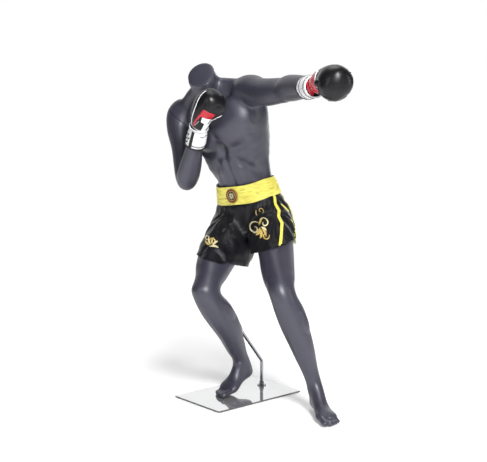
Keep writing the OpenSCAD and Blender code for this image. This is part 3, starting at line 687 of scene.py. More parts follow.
def lobe(u, v, u0, v0, ru, rv, height, edge=2.0, turn=0.0):
    """A rounded hill at (u0, v0) with half sizes ru and rv; a higher edge makes its sides steeper."""
    c, s = math.cos(math.radians(turn)), math.sin(math.radians(turn))
    du, dv = u - u0, v - v0
    r = np.sqrt(((du * c + dv * s) / ru) ** 2 + ((dv * c - du * s) / rv) ** 2)
    return height * np.exp(-0.9 * r**edge)


def crease(u, v, points, width, depth):
    """A soft groove (negative depth) or ridge along a line of points."""
    best = np.full(np.shape(u), 1e9)
    for (u0, v0), (u1, v1) in zip(points[:-1], points[1:]):
        du, dv = u1 - u0, v1 - v0
        t = np.clip(((u - u0) * du + (v - v0) * dv) / (du * du + dv * dv), 0, 1)
        best = np.minimum(best, np.hypot(u - u0 - t * du, v - v0 - t * dv))
    return depth * np.exp(-(best / width) ** 2)


TURN = math.radians(9)   # the chest is turned this much to the figure's left


def trunk_relief(lat, fr, at, t):
    """Muscle relief of the trunk, in mm: the middle line, chest, belly, flanks and back."""
    u = lat * math.cos(TURN) - fr * math.sin(TURN)
    w = fr * math.cos(TURN) + lat * math.sin(TURN)
    v = np.full(np.shape(u), float(at[2]))
    front = step_up(w, -5, 45)
    back = step_up(-w, -5, 45)
    h = np.zeros(np.shape(u))
    for m in (-1, 1):
        s = u * m
        h = h + front * lobe(s, v, 80, 1112, 88, 74, 16, 4.2, -14)
        h += front * crease(s, v, [(8, 1056), (48, 1036), (96, 1042), (138, 1076)], 18, -11.5)
        h += front * crease(s, v, [(6, 1030), (40, 998), (84, 952), (104, 912)], 18, -10.5)
        h += front * lobe(s, v, 58, 1006, 34, 26, 2.5)
        for level, tall in ((1028, 17), (990, 18), (950, 19)):
            h += front * lobe(s, v, 29, level, 24, tall, 3.6, 3)
        h += front * lobe(s, v, 27, 896, 24, 34, 2.8, 3)
        h += front * crease(s, v, [(60, 1010), (62, 950), (56, 880), (44, 830)], 11, -3)
        h += lobe(s, v, 104, 915, 34, 44, 7, 2.4)
        h += front * crease(s, v, [(112, 872), (84, 846), (50, 806)], 13, -4)
        for level, place in ((1062, 130), (1030, 122), (998, 114), (968, 106)):
            h += lobe(s, v, place, level, 24, 13, 6, 2.2, 28)
        h += front * crease(s, v, [(14, 1192), (60, 1200), (116, 1206)], 9, 5.5)
        h += front * crease(s, v, [(20, 1212), (70, 1222)], 12, -5)
        h += front * crease(s, v, [(10, 1206), (30, 1250), (52, 1300)], 9, 4.5)
        h += back * lobe(s, v, 118, 1050, 44, 110, 9, 2.6)
        h += back * lobe(s, v, 30, 900, 20, 86, 6, 3)
        h += back * lobe(s, v, 76, 1128, 44, 56, 8, 2.8, 12)
        h += back * lobe(s, v, 40, 1212, 52, 44, 7, 2.6)
        h += back * crease(s, v, [(40, 1170), (98, 1090), (112, 1010)], 13, -4)
    h += front * crease(u, v, [(0, 1196), (0, 1090), (0, 1062)], 10, -6.5)
    h += front * crease(u, v, [(0, 1062), (0, 960), (0, 850)], 12, -8)
    h += front * lobe(u, v, 0, 1206, 14, 12, -6)
    h += front * lobe(u, v, 0, 902, 6, 8, -6)
    h += back * crease(u, v, [(0, 1250), (0, 1050), (0, 840)], 13, -8)
    return h


def leg_relief(knee_z, low_z, top_z, side_out):
    """Relief of a leg from heights alone; side_out is 1 where the first side is the outer one."""
    def relief(lat, fr, at, t):
        z = float(at[2])
        out = lat * side_out
        front, back = step_up(fr, -6, 34), step_up(-fr, -6, 34)
        v = np.full(np.shape(lat), z)
        h = front * lobe(out, v, 0, knee_z + 2, 26, 28, 2.5, 2.8)
        h += front * crease(out, v, [(-26, knee_z + 34), (0, knee_z + 42), (26, knee_z + 34)], 11, -3.5)
        h += front * lobe(out, v, -34, knee_z + 66, 24, 42, 8, 2.6)
        h += front * lobe(out, v, 36, knee_z + 96, 24, 56, 6, 2.6)
        h += front * lobe(out, v, 2, knee_z + 165, 26, 90, 5, 2.6)
        h += front * crease(out, v, [(-17, knee_z + 80), (-22, top_z)], 9, -2.6)
        h += front * crease(out, v, [(20, knee_z + 80), (25, top_z)], 9, -2.6)
        h += lobe(out, v, 52, knee_z + 120, 14, 110, -3)
        h += back * lobe(out, v, 26, knee_z + 120, 22, 90, 4.5)
        h += back * lobe(out, v, -26, knee_z + 115, 22, 90, 4.5)
        h += back * lobe(out, v, 22, knee_z - 92, 22, 58, 7, 2.6)
        h += back * lobe(out, v, -24, knee_z - 104, 22, 66, 8, 2.6)
        h += back * crease(out, v, [(0, knee_z - 40), (0, knee_z - 170)], 9, -3.5)
        h += back * crease(out, v, [(-20, low_z + 90), (0, low_z + 40)], 12, 2)
        h += front * crease(out, v, [(-4, knee_z - 44), (-8, low_z + 60)], 9, 3.2)
        h += front * lobe(out, v, 22, knee_z - 110, 18, 90, 3.5)
        return h
    return relief


def arm_relief(marks):
    """Hills (place along in stations, angle in degrees, reach along, reach in degrees, height)."""
    def relief(lat, fr, at, t):
        angle = np.degrees(np.arctan2(fr, lat))
        h = np.zeros(np.shape(lat))
        for place, a0, reach, spread, height in marks:
            away = (angle - a0 + 180) % 360 - 180
            h += height * np.exp(-np.abs((t - place) / reach) ** 2.6 - np.abs(away / spread) ** 2.4)
        return h
    return relief


LEFT_ARM_MARKS = [
    (1.6, 90, 1.3, 60, 3), (1.7, -150, 1.4, 60, 4), (3.9, 170, 1.6, 34, 4.5), (3.6, 10, 1.7, 38, 4),
    (3.0, 90, 1.2, 20, -3), (3.0, -90, 1.2, 20, -3), (7.0, 120, 1.2, 40, 4.5), (7.2, -60, 1.3, 44, 3.5),
    (7.4, 30, 1.4, 16, -2.5), (5.4, 0, 0.5, 20, 2.5)]
RIGHT_UPPER_MARKS = [
    (1.4, 90, 1.1, 55, 4), (1.7, 0, 1.2, 60, 5), (3.0, 120, 1.3, 34, 5), (3.0, -60, 1.4, 36, 5),
    (2.9, 30, 1.2, 18, -3.5), (2.9, 200, 1.2, 18, -3.5)]
RIGHT_FOREARM_MARKS = [(2.2, 90, 1.2, 38, 4.5), (2.4, -60, 1.3, 40, 4), (2.5, 20, 1.4, 16, -2.5)]


# ------------------------------------------------------------------ body: pieces
trunk = loft(TRUNK, TRUNK_FRONT_LOW, TRUNK_FRONT_HIGH, 180, 22, 0, 0.86, trunk_relief)
left_arm = loft(LEFT_ARM, FRONT, FRONT, 90, 16, 0, 1, arm_relief(LEFT_ARM_MARKS))
right_upper = loft(RIGHT_UPPER_ARM, FRONT, FRONT, 90, 16, 0, 1, arm_relief(RIGHT_UPPER_MARKS))
right_fore = loft(RIGHT_FOREARM, FRONT, FRONT, 90, 16, 0, 1, arm_relief(RIGHT_FOREARM_MARKS))
shoulder_muscles = [
    # left shoulder: front and side heads of the deltoid
    ellipsoid((0, -56, 1248), (66, 60, 54), [(0.1, -0.98, 0.1), (-0.98, -0.1, 0.1), (0, 0.1, 1)]),
    ellipsoid((34, -44, 1248), (62, 58, 52), [(0, -1, 0.1), (-1, 0, 0.1), (0, 0.1, 1)]),
    # neck to the shoulders
    spindle([(-60, 160, 1282), (-52, 204, 1254), (-46, 252, 1222), (-44, 300, 1184)], [32, 32, 32, 34]),
    spindle([(-26, 78, 1280), (-4, 30, 1274), (14, -22, 1268)], [33, 33, 34]),
    spindle([(0, -20, 1256), (-6, 30, 1252), (-22, 78, 1262), (-44, 110, 1282)], [30, 32, 34, 34]),
    spindle([(-38, 274, 1186), (-34, 232, 1204), (-38, 186, 1232), (-52, 146, 1268)], [34, 36, 36, 34]),
]
right_deltoid = [
    ellipsoid((-66, 300, 1132), (66, 50, 50), [(-0.2, 0.4, -0.9), (-0.9, 0.2, 0.2), (0.2, 0.9, 0.3)]),
    ellipsoid((-28, 306, 1136), (66, 50, 50), [(-0.2, 0.4, -0.9), (-0.9, 0.2, 0.2), (0.2, 0.9, 0.3)]),
]
left_arm_seam, LEFT_ARM_AXIS = joint_plane("left_arm_turn")
right_arm_seam, RIGHT_ARM_AXIS = joint_plane("right_arm_turn")
left_hip_seam, LEFT_HIP_AXIS = joint_plane("left_leg_turn")
RIGHT_HIP_AXIS = unit(arr(-195, -22, 459) - arr(110, 151, 708))
right_hip_seam = arr(110, 151, 708) + 62 * RIGHT_HIP_AXIS
LEFT_HAND_AXIS, RIGHT_HAND_AXIS = unit(LEFT_WRIST - LEFT_ELBOW), unit(RIGHT_WRIST - RIGHT_ELBOW)
half = SHELL_GAP / 2

upper = merged("torso_body", [trunk, left_arm, right_upper] + shoulder_muscles + right_deltoid)
remeshed(upper, 4.2)
softened(upper, 3)
relaxed(upper, 8)
softened(upper, 60, near(upper, ((-4, -40, 1250), 120), ((30, -90, 1230), 80), ((-50, 290, 1170), 120),
                         ((-40, 60, 1270), 90), ((-50, 180, 1250), 90), ((-90, 20, 1170), 80),
                         ((-96, 200, 1130), 80)))
left_arm_body = copied(upper, "left_arm_body")
cut(left_arm_body, left_arm_seam + LEFT_ARM_AXIS * half, -LEFT_ARM_AXIS)
cut(left_arm_body, LEFT_WRIST - LEFT_HAND_AXIS * half, LEFT_HAND_AXIS)

torso_body = upper
cut(torso_body, left_arm_seam - LEFT_ARM_AXIS * half, LEFT_ARM_AXIS)
cut(torso_body, WAIST + WAIST_AXIS * half, -WAIST_AXIS)
right_arm_body = merged("right_arm_body", [right_upper, right_fore] + right_deltoid)
remeshed(right_arm_body, 3.6)
softened(right_arm_body, 3)
relaxed(right_arm_body, 6)
softened(right_arm_body, 50, near(right_arm_body, ((-50, 290, 1170), 120), ((-118, 190, 880), 70)))
cut(right_arm_body, right_arm_seam + RIGHT_ARM_AXIS * half, -RIGHT_ARM_AXIS,
    where=lambda p: p[1] > 215)
cut(right_arm_body, RIGHT_WRIST - RIGHT_HAND_AXIS * half, RIGHT_HAND_AXIS, where=lambda p: p[1] < 110)
# room in the torso for the upper arm, grown and moved up by the gap between their shells
room = copied(right_arm_body, "room")
set_coords(room, coords(room) + normals(room) * ARM_ROOM * MM + RIGHT_ARM_AXIS * -SHELL_GAP * MM)
largest_only(carved(torso_body, room))


def toes(ball, ahead, inner, floor):
    """Five toes: ball is the middle of the foot's ball, ahead and inner are directions."""
    parts = []
    for place, start, reach, r in ((26, 6, 44, 12.5), (7, 10, 42, 9.2), (-9, 7, 37, 8.8), (-23, 2, 32, 8.4),
                                   (-36, -6, 29, 8.2)):
        root = ball + inner * place + ahead * (start - 26)
        knuckle = ball + inner * place + ahead * (start + reach * 0.42)
        tip = ball + inner * (place - 1.5) + ahead * (start + reach)
        end = ball + inner * (place - 1.5) + ahead * (start + reach + r * 0.75)
        heights = (r * 1.5 + 3, r * 1.35, r, r * 0.95)
        line = [p + UP * (floor + h - p[2]) for p, h in zip((root, knuckle, tip, end), heights)]
        parts.append(spindle(line, [r, r * 0.98, r, r * 0.35], 20, 6, 0.92))
    return parts


right_leg_parts = [
    loft(RIGHT_THIGH, FRONT, FRONT, 96, 14, 0, 0.95, leg_relief(466, 116, 760, 1)),
    loft(RIGHT_SHANK, FRONT, FRONT, 96, 14, 0, 0.95, leg_relief(466, 116, 760, 1)),
    loft(RIGHT_FOOT, UP, UP, 72, 10, 0, 0.9),
    spindle([(-8, -20, 283), (-26, -22, 297), (-57, -24, 319), (-94, -26, 343)], [11, 20, 29, 37], 40, 8),
    ellipsoid((-96, -40, 366), (34, 30, 74), [(0.9, 0.2, 0.3), (-0.2, 1, 0), (-0.5, -0.15, 0.85)]),
    ellipsoid((-200, -14, 467), (50, 50, 42)),
    spindle([(26, 20, 170), (24, 22, 124), (8, 20, 88), (-14, 18, 62)], [20, 28, 30, 25]),
    ellipsoid((58, 60, 98), (13, 10, 14)), ellipsoid((56, -4, 104), (13, 10, 14)),
    spindle([(64, 30, 150), (84, 32, 112), (92, 32, 84)], [10, 11, 14]),
] + toes(arr(-50, 12, 20), unit([-1, -0.1, 0]), unit([0.1, -1, 0]), 8.6)
left_leg_parts = [
    loft(LEFT_LEG, FRONT, FRONT, 96, 12, 0, 0.95, leg_relief(474, 88, 760, -1)),
    loft(LEFT_FOOT, UP, UP, 72, 10, 0, 0.9),
    ellipsoid((6, -352, 372), (36, 34, 78), [(1, 0, 0.2), (0, 1, 0), (-0.3, 0.15, 0.94)]),
    ellipsoid((8, -311, 322), (34, 31, 66), [(1, 0, 0.2), (0, 1, 0), (-0.3, 0.15, 0.94)]),
    spindle([(74, -364, 160), (72, -381, 112), (62, -406, 72), (44, -436, 40), (30, -460, 28)],
            [16, 28, 31, 26, 16]),
    ellipsoid((98, -392, 76), (11, 11, 14)), ellipsoid((50, -362, 84), (11, 11, 14)),
] + toes(arr(15, -496, 18), unit([-0.42, -0.9, 0]), unit([-0.9, 0.42, 0]), 0.8)
right_leg_body = merged("right_leg_body", right_leg_parts)
left_leg_body = merged("left_leg_body", left_leg_parts)
blends = {
    right_leg_body: (((-190, -20, 478), 130), ((50, 26, 112), 120), ((10, 22, 78), 60)),
    left_leg_body: (((-36, -308, 480), 80), ((74, -384, 100), 150), ((46, -436, 48), 80))}
for leg, seam, axis in ((right_leg_body, right_hip_seam, RIGHT_HIP_AXIS),
                        (left_leg_body, left_hip_seam, LEFT_HIP_AXIS)):
    remeshed(leg, 3.2)
    softened(leg, 2)
    relaxed(leg, 5)
    softened(leg, 200, near(leg, *blends[leg]))
    cut(leg, seam + axis * half, -axis)

for piece, body, shell in (
        (torso_body, "torso", "torso_shell"), (left_arm_body, "left_arm", "left_arm_shell"),
        (right_arm_body, "right_arm", "right_arm_shell"), (right_leg_body, "hips", "right_leg_shell"),
        (left_leg_body, "left_leg", "left_leg_shell")):
    finish_piece(piece, body, "body_grey", replaces=[shell])


# ------------------------------------------------------------------ neck cap
def placed(verts, point, axis, back):
    """Verts in metres, drawn with +Z along axis and +Y toward back, put at a point in mm."""
    z = unit(axis)
    y = unit(square_part(np.asarray(back, float), z))
    return np.asarray(verts) @ np.array([np.cross(y, z), y, z]) + np.asarray(point) * MM


def revolved(profile, sides=96):
    """Closed form turned from [radius, height] pairs in mm."""
    a = round_angles(sides)
    return capped(np.array([np.column_stack([r * np.cos(a), r * np.sin(a), np.full(sides, h)])
                            for r, h in profile]))


cap_profile = [(2, half), (54, half), (55.4, half + 0.6), (56, half + 1.6), (56, 3.4), (55.4, 4.4)]
cap_profile += [(54.6 * math.cos(v), 3.8 + 4.9 * math.sin(v))
                for v in np.linspace(0.12, math.pi / 2 - 0.03, 20)]
verts, faces = revolved(cap_profile)
neck_cap = mesh_object("neck_cap_dome", placed(verts, NECK_TOP, NECK_AXIS, FRONT), faces)
finish_piece(neck_cap, "cap", "body_grey", replaces=["neck_cap"])


# ------------------------------------------------------------------ gloves
# A glove is drawn in its hand's own directions, in mm: x to the thumb, y to the back of the hand and
# z along the punch, from the wrist. The left one is the mirror image of the right one.
GLOVE = [
    [0, 3, 26, 38, 38, 33, 31], [0, 4, 44, 44, 44, 41, 33], [0, 5, 70, 52, 51, 51, 34],
    [0, 6, 104, 57, 56, 57, 35], [0, 5, 136, 59, 58, 58, 42], [0, 3, 166, 55, 55, 52, 46],
    [0, 0, 186, 45, 45, 38, 38], [0, -2, 197, 26, 26, 20, 20]]
GLOVE_MIDDLE = 4.0   # how far the middle of a glove's section lies to the back of the hand


class Hand:
    """Turns hand directions into the row frame, and makes one glove's pieces."""

    def __init__(self, name, wrist, knuckles, back, arm_axis, mirror):
        self.name, self.wrist, self.mirror, self.arm_axis = name, wrist, mirror, arm_axis
        z = unit(knuckles - wrist)
        y = unit(square_part(unit(back), z))
        x = np.cross(y, z) * (-1 if mirror else 1)
        self.axes = np.array([x, y, z])

    def row(self, local):
        """Points in mm in the hand's directions to metres in the row frame."""
        return (self.wrist + np.asarray(local, float) @ self.axes) * MM

    def piece(self, name, parts):
        """One object in the row frame from parts drawn in the hand's directions (metres)."""
        turned = []
        for verts, faces in parts:
            verts = self.row(np.asarray(verts) / MM)
            turned.append((verts, [f[::-1] for f in faces] if self.mirror else faces))
        return merged(self.name + "_" + name, turned)

    def finish(self, piece, slot, look=None, replaces=()):
        return finish_piece(piece, self.name + "_hand", slot, look,
                            [self.name + "_" + n for n in replaces])


def puffed(piece, pressure, steps, cap):
    """Swell a closed padded mesh under pressure with the cloth simulation, by cap mm at the most."""
    before = coords(piece)
    m = piece.modifiers.new("cloth", "CLOTH")
    s = m.settings
    s.quality, s.mass, s.air_damping = 5, 0.3, 2
    s.tension_stiffness = s.compression_stiffness = 20
    s.shear_stiffness, s.bending_stiffness = 8, 2
    s.use_pressure, s.uniform_pressure_force = True, pressure
    s.effector_weights.gravity = 0
    m.point_cache.frame_start, m.point_cache.frame_end = 1, steps
    scene = bpy.context.scene
    for frame_number in range(1, steps + 1):
        scene.frame_set(frame_number)
        bpy.context.view_layer.update()
    apply_modifiers(piece)
    scene.frame_set(1)
    move = coords(piece) - before
    move -= move.mean(0)
    length = np.linalg.norm(move, axis=1)[:, None] + 1e-12
    set_coords(piece, before + move / length * cap * MM * np.tanh(length / (cap * MM)))
    return piece


def on_glove(hand, surface, angle, z, lift):
    """Point in metres on a glove's skin at an angle about its length (0 thumb, 90 back) and a z."""
    c, s = math.cos(math.radians(angle)), math.sin(math.radians(angle))
    outside, inside = 140, 40
    start = Vector(hand.row([outside * c, GLOVE_MIDDLE + outside * s, z]))
    towards = (Vector(hand.row([0, GLOVE_MIDDLE, z])) - start).normalized()
    hit, normal, _, _ = surface.ray_cast(start, towards)
    if hit is None:
        return np.array(hand.row([inside * c, GLOVE_MIDDLE + inside * s, z]))
    if normal.dot(towards) > 0:
        normal = -normal
    return np.array(hit + normal * lift * MM)


def patch(hand, name, surface, corners, lift=0.5, depth=1.1, across=18, along=18):
    """A thin leather piece over four (angle, z) corners on the glove's skin."""
    (a0, z0), (a1, z1), (a2, z2), (a3, z3) = corners
    grid = []
    for v in np.linspace(0, 1, along):
        for u in np.linspace(0, 1, across):
            angle = (a0 * (1 - u) + a1 * u) * (1 - v) + (a3 * (1 - u) + a2 * u) * v
            z = (z0 * (1 - u) + z1 * u) * (1 - v) + (z3 * (1 - u) + z2 * u) * v
            grid.append(on_glove(hand, surface, angle, z, lift))
    piece = mesh_object(hand.name + "_" + name, grid, grid_faces(along, across, False))
    return thickened(piece, depth, 0)


def piping(hand, name, surface, points, radius=1.5, lift=0.4):
    """A thin round cord of leather sewn along (angle, z) points on the glove's skin."""
    rows = smoothed(points, 10)
    line = np.array([on_glove(hand, surface, a, z, lift) for a, z in rows]) / MM
    line[1:-1] = (line[:-2] + 2 * line[1:-1] + line[2:]) / 4
    return merged(hand.name + "_" + name, [spindle(line, [radius] * len(line), 10, 1)])


def sleeve(hand, name, profile, sides=72, wobble=0.0):
    """A closed ring about the forearm's line, from [radius, height] pairs in mm round its section."""
    a = round_angles(sides)
    rings = np.array([np.column_stack([
        (r + wobble * np.sin(3 * a + h * 0.08)) * np.cos(a), (r + wobble * np.sin(2 * a + 1)) * np.sin(a),
        np.full(sides, float(h))]) for r, h in profile])
    verts = placed(rings.reshape(-1, 3) * MM, hand.wrist, hand.arm_axis, hand.axes[1])
    return mesh_object(hand.name + "_" + name, verts, loop_faces(len(profile), sides))


def rounded_wall(r_low, r_high, low, high, wall, ribs=()):
    """Section of a soft sleeve: outer face with stitched dips, rounded rims, inner face."""
    outer = [[r_low + (r_high - r_low) * t, low + (high - low) * t] for t in np.linspace(0.04, 0.96, 40)]
    for p in outer:
        for rib in ribs:
            p[0] -= 0.9 * math.exp(-((p[1] - rib) / 1.1) ** 2)
    top = [[r_high - wall * 0.2, high], [r_high - wall * 0.8, high]]
    inner = [[r_high - wall, high - 1], [r_low - wall, low + 1]]
    bottom = [[r_low - wall * 0.8, low], [r_low - wall * 0.2, low]]
    return outer + top + inner + bottom


GLOVE_VOXEL, THUMB_VOXEL = 3.6, 2.6
PRESSURE = 2.0


def make_glove(hand):
    body = hand.piece("glove_shell", [
        loft(GLOVE, arr(0, 1, 0), arr(0, 1, 0), 72, 8, -1.5, 0.92),
        ellipsoid((0, -1, 140), (62, 62, 59)),
        spindle([(-36, -28, 150), (-18, -30, 151), (0, -31, 152), (18, -30, 151), (36, -28, 150)],
                [27, 30, 31, 30, 27], 40, 8),
    ])
    remeshed(body, GLOVE_VOXEL)
    notch = hand.piece("notch", [spindle([(-90, -56, 86), (0, -56, 86), (90, -56, 86)], [30, 30, 30], 40, 6)])
    carved(body, notch)
    remeshed(body, GLOVE_VOXEL)
    softened(body, 6)
    puffed(body, PRESSURE, steps=14, cap=3.0)
    softened(body, 36)
    # the roll of the fingers: a sewn crease round its end, and long soft hollows in the leather
    co = (coords(body) / MM - hand.wrist) @ hand.axes.T
    side = step_up(-co[:, 0], 30, 48)
    ring = np.abs(np.hypot(co[:, 1] + 27, co[:, 2] - 148) - 22)
    sink = 2.4 * side * np.exp(-(ring / 4.0) ** 2) * step_up(28 - co[:, 1], 0, 30)
    sink += 1.2 * side * np.exp(-((co[:, 1] - 34 + 0.12 * (co[:, 2] - 110)) / 2.6) ** 2)
    sink += 0.15 * noise(co / 40, 3)
    set_coords(body, coords(body) - normals(body) * (sink * MM)[:, None])
    subdivided(body)
    surface = tree(body)
    thumb = hand.piece("glove_thumb_pad", [spindle(
        [(26, -16, 96), (38, -28, 110), (43, -33, 123), (42, -36, 137), (38, -38, 147)],
        [7, 11.5, 14, 12.5, 6], 32, 8)])
    remeshed(thumb, THUMB_VOXEL)
    softened(thumb, 3)
    puffed(thumb, PRESSURE, steps=10, cap=2.0)
    softened(thumb, 4)
    subdivided(thumb)
    hand.finish(body, "black_leather", replaces=["glove_padding"])
    hand.finish(thumb, "black_leather", replaces=["glove_thumb"])
    return surface


def red_and_white(hand, surface, side):
    """Coloured panels on the outer side of a glove; side is the angle of that side's middle."""
    m = 1 if side == 180 else -1

    def at(a, z):
        return (side + m * a, z)

    red = patch(hand, "panel_red", surface, [at(-30, 104), at(24, 104), at(30, 134), at(-22, 138)])
    tail = patch(hand, "panel_red_tail", surface, [at(-48, 42), at(-38, 42), at(-20, 106), at(-30, 106)])
    white = patch(hand, "panel_white", surface, [at(-12, 78), at(22, 74), at(30, 103), at(-14, 103)])
    black = patch(hand, "panel_black", surface, [at(-36, 42), at(6, 42), at(4, 77), at(-28, 84)], 0.6)
    lower = patch(hand, "panel_white_low", surface, [at(8, 34), at(36, 34), at(38, 72), at(6, 76)])
    line = piping(hand, "panel_line", surface, [at(-33, 50), at(-26, 66), at(-20, 82)], 0.7, 1.3)
    hand.finish(red, "red_leather", replaces=["glove_patch"])
    hand.finish(tail, "red_leather")
    hand.finish(white, "white_leather")
    hand.finish(lower, "white_leather")
    hand.finish(black, "black_leather", "dark_mark")
    hand.finish(line, "white_leather")


def cuffs(hand):
    cuff = sleeve(hand, "cuff_sleeve", rounded_wall(40, 35.5, -52, 24, 4, (-44, -6, 14)), wobble=0.5)
    strap = sleeve(hand, "cuff_wrap", rounded_wall(41.8, 38.8, -36, 6, 2.0, (-33, 3)), wobble=0.5)
    low = sleeve(hand, "rim_low", rounded_wall(41.5, 41.2, -58, -51, 6), wobble=0.4)
    high = sleeve(hand, "rim_high", rounded_wall(38.6, 39.6, 27, 32, 5), wobble=0.3)
    line = sleeve(hand, "rim_line", rounded_wall(36.2, 36.2, 24, 27.5, 5), wobble=0.3)
    hand.finish(line, "glove_trim")
    hand.finish(cuff, "white_leather", replaces=["glove_cuff"])
    hand.finish(strap, "strap", replaces=["glove_strap"])
    hand.finish(low, "glove_trim", replaces=["glove_trim"])
    hand.finish(high, "glove_trim", "white_leather")


MM_PER_DEGREE = 0.72   # round the cuff


def cuff_strip(hand, name, points, width):
    """A flat dark strip laid round the cuff along [angle, height] points; angles as on the glove."""
    rows = smoothed(points, 8)
    tangent = np.gradient(rows * np.array([MM_PER_DEGREE, 1]), axis=0)
    tangent /= np.linalg.norm(tangent, axis=1)[:, None]
    r, lift, thick = (42.4, 39.4), 0.2, 0.9
    verts = []
    for (angle, h), t in zip(rows, tangent):
        for k in (-1, -0.33, 0.33, 1):
            a = math.radians(angle - t[1] * k * width / 2 / MM_PER_DEGREE)
            hh = h + t[0] * k * width / 2
            radius = r[0] + (r[1] - r[0]) * (hh + 36) / 42 + lift
            verts.append([radius * math.cos(a) * (-1 if hand.mirror else 1), radius * math.sin(a), hh])
    verts = placed(np.array(verts) * MM, hand.wrist, hand.arm_axis, hand.axes[1])
    piece = mesh_object(hand.name + "_" + name, verts, grid_faces(len(rows), 4, False))
    hand.finish(thickened(piece, thick, 0), "glove_trim", "dark_mark")


right_hand = Hand("right", RIGHT_WRIST, arr(-171, -34, 1198), arr(-0.757, 0.653, 0), RIGHT_HAND_AXIS, False)
left_hand = Hand("left", LEFT_WRIST, arr(-212, -738, 1259), arr(0.62, 0, 0.78), LEFT_HAND_AXIS, True)
for hand in (right_hand, left_hand):
    skin = make_glove(hand)
    red_and_white(hand, skin, 180)
    cuffs(hand)
    for name, points, radius in (
            ("piping_back", [(112, 32), (118, 60), (121, 100), (118, 140), (108, 172), (96, 190)], 1.6),
            ("piping_palm", [(214, 30), (217, 60), (220, 90), (226, 112), (236, 121), (250, 122)], 1.7),
            ("piping_wrist", [(a, 33) for a in range(0, 361, 15)], 1.6)):
        plain = hand is left_hand and name != "piping_wrist"
        hand.finish(piping(hand, name, skin, points, radius), "white_leather", "dark_mark" if plain else None)
    cuff_strip(hand, "cuff_band", [(150, -50), (150, -20), (150, 22)], 13)
    cuff_strip(hand, "strap_edge", [(160, -39), (200, -41), (250, -40), (300, -38)], 2.2)
    cuff_strip(hand, "strap_tip", [(196, 8), (214, 4), (232, 9), (250, 8)], 2.6)
for k, (h, width) in enumerate(((12, 2.4), (-22, 2.0))):
    cuff_strip(left_hand, "cuff_ring_%d" % k, [(a, h) for a in range(0, 361, 20)], width)
for k, (a, h) in enumerate(((96, -34), (108, -22), (120, -34), (100, -6), (118, -2), (128, -16))):
    cuff_strip(right_hand, "cuff_bar_%d" % k, [(a - 6, h - 5), (a, h), (a + 6, h + 6)], 4.5)
# skin is still the left glove's
inner = patch(left_hand, "panel_red_inner", skin, [(-104, 24), (18, 24), (12, 86), (-94, 82)],
              lift=0.6, across=44, along=16)
left_hand.finish(inner, "red_leather")
for name, points in (("piping_inner", [(-96, 80), (-70, 82), (-40, 84), (-10, 86), (16, 86)]),
                     ("piping_inner_end", [(18, 30), (17, 60), (16, 86)]),
                     ("piping_inner_low", [(-104, 31), (-70, 31), (-40, 31), (-10, 31), (18, 31)])):
    left_hand.finish(piping(left_hand, name, skin, points, 1.9), "white_leather")


# ------------------------------------------------------------------ trunks
SEAT = [[130, 60, 628, 34, 34, 34, 40], [130, 60, 652, 98, 98, 66, 92], [128, 59, 700, 144, 144, 93, 112],
        [124, 60, 745, 152, 152, 98, 110], [116, 62, 800, 141, 141, 96, 98], [103, 65, 855, 126, 126, 92, 88],
        [88, 69, 906, 117, 117, 88, 84]]
RIGHT_BAG = [
    [120, 126, 752, 86, 86, 90, 106], [100, 122, 706, 95, 95, 97, 112], [60, 103, 660, 100, 96, 106, 113],
    [20, 82, 614, 96, 93, 112, 112], [-8, 71, 572, 89, 89, 114, 109], [-24, 66, 530, 86, 86, 113, 106]]
LEFT_BAG = [
    [136, -16, 764, 86, 86, 88, 106], [130, -46, 724, 90, 90, 93, 109], [112, -78, 690, 88, 88, 94, 104],
    [90, -106, 658, 86, 86, 92, 97], [74, -128, 626, 86, 88, 92, 94], [60, -148, 592, 86, 89, 91, 92]]
RIGHT_HEM, RIGHT_HEM_DOWN = arr(0, 70, 556), unit([-0.219, 0.135, -0.966])
LEFT_HEM, LEFT_HEM_DOWN = arr(65, -142, 632), unit([0.183, -0.271, -0.945])
BAND_MIDDLE, BAND_HEIGHT = arr(106, 64, 850), 74
BAND_DIP, BAND_DEEPER, BAND_LIFT = 9, 2, 3
BAND_FRONT = unit(square_part(TRUNK_FRONT_LOW, WAIST_AXIS))
BAND_SIDES = 720
CLOTH_THICK, RIBBON_THICK = 1.3, 0.7
LEG_CLEARANCE, TURN_CLEARANCE, TURN_STEPS = 3.6, 3.0, (3, 6, 10)
TRUNK_FRONT_SEAT = TRUNK_FRONT_LOW * 0.6 + TRUNK_FRONT_HIGH * 0.4


def trunks_form(name):
    form = merged(name, [
        loft(SEAT, TRUNK_FRONT_LOW, TRUNK_FRONT_SEAT, 120, 12, 11, 0.86),
        loft(RIGHT_BAG, FRONT, FRONT, 96, 12, 0, 0.92), loft(LEFT_BAG, FRONT, FRONT, 96, 12, 0, 0.92),
        loft(RIGHT_THIGH[:5], FRONT, FRONT, 96, 12, 9, 0.95),
        loft(LEFT_LEG[:5], FRONT, FRONT, 96, 12, 9, 0.95)])
    remeshed(form, 6)
    return softened(form, 10)


def band_facing(p):
    """0 at the back and sides of the waist to 1 at its front, at points in mm."""
    return step_up((p - BAND_MIDDLE) @ BAND_FRONT, 20, 96)


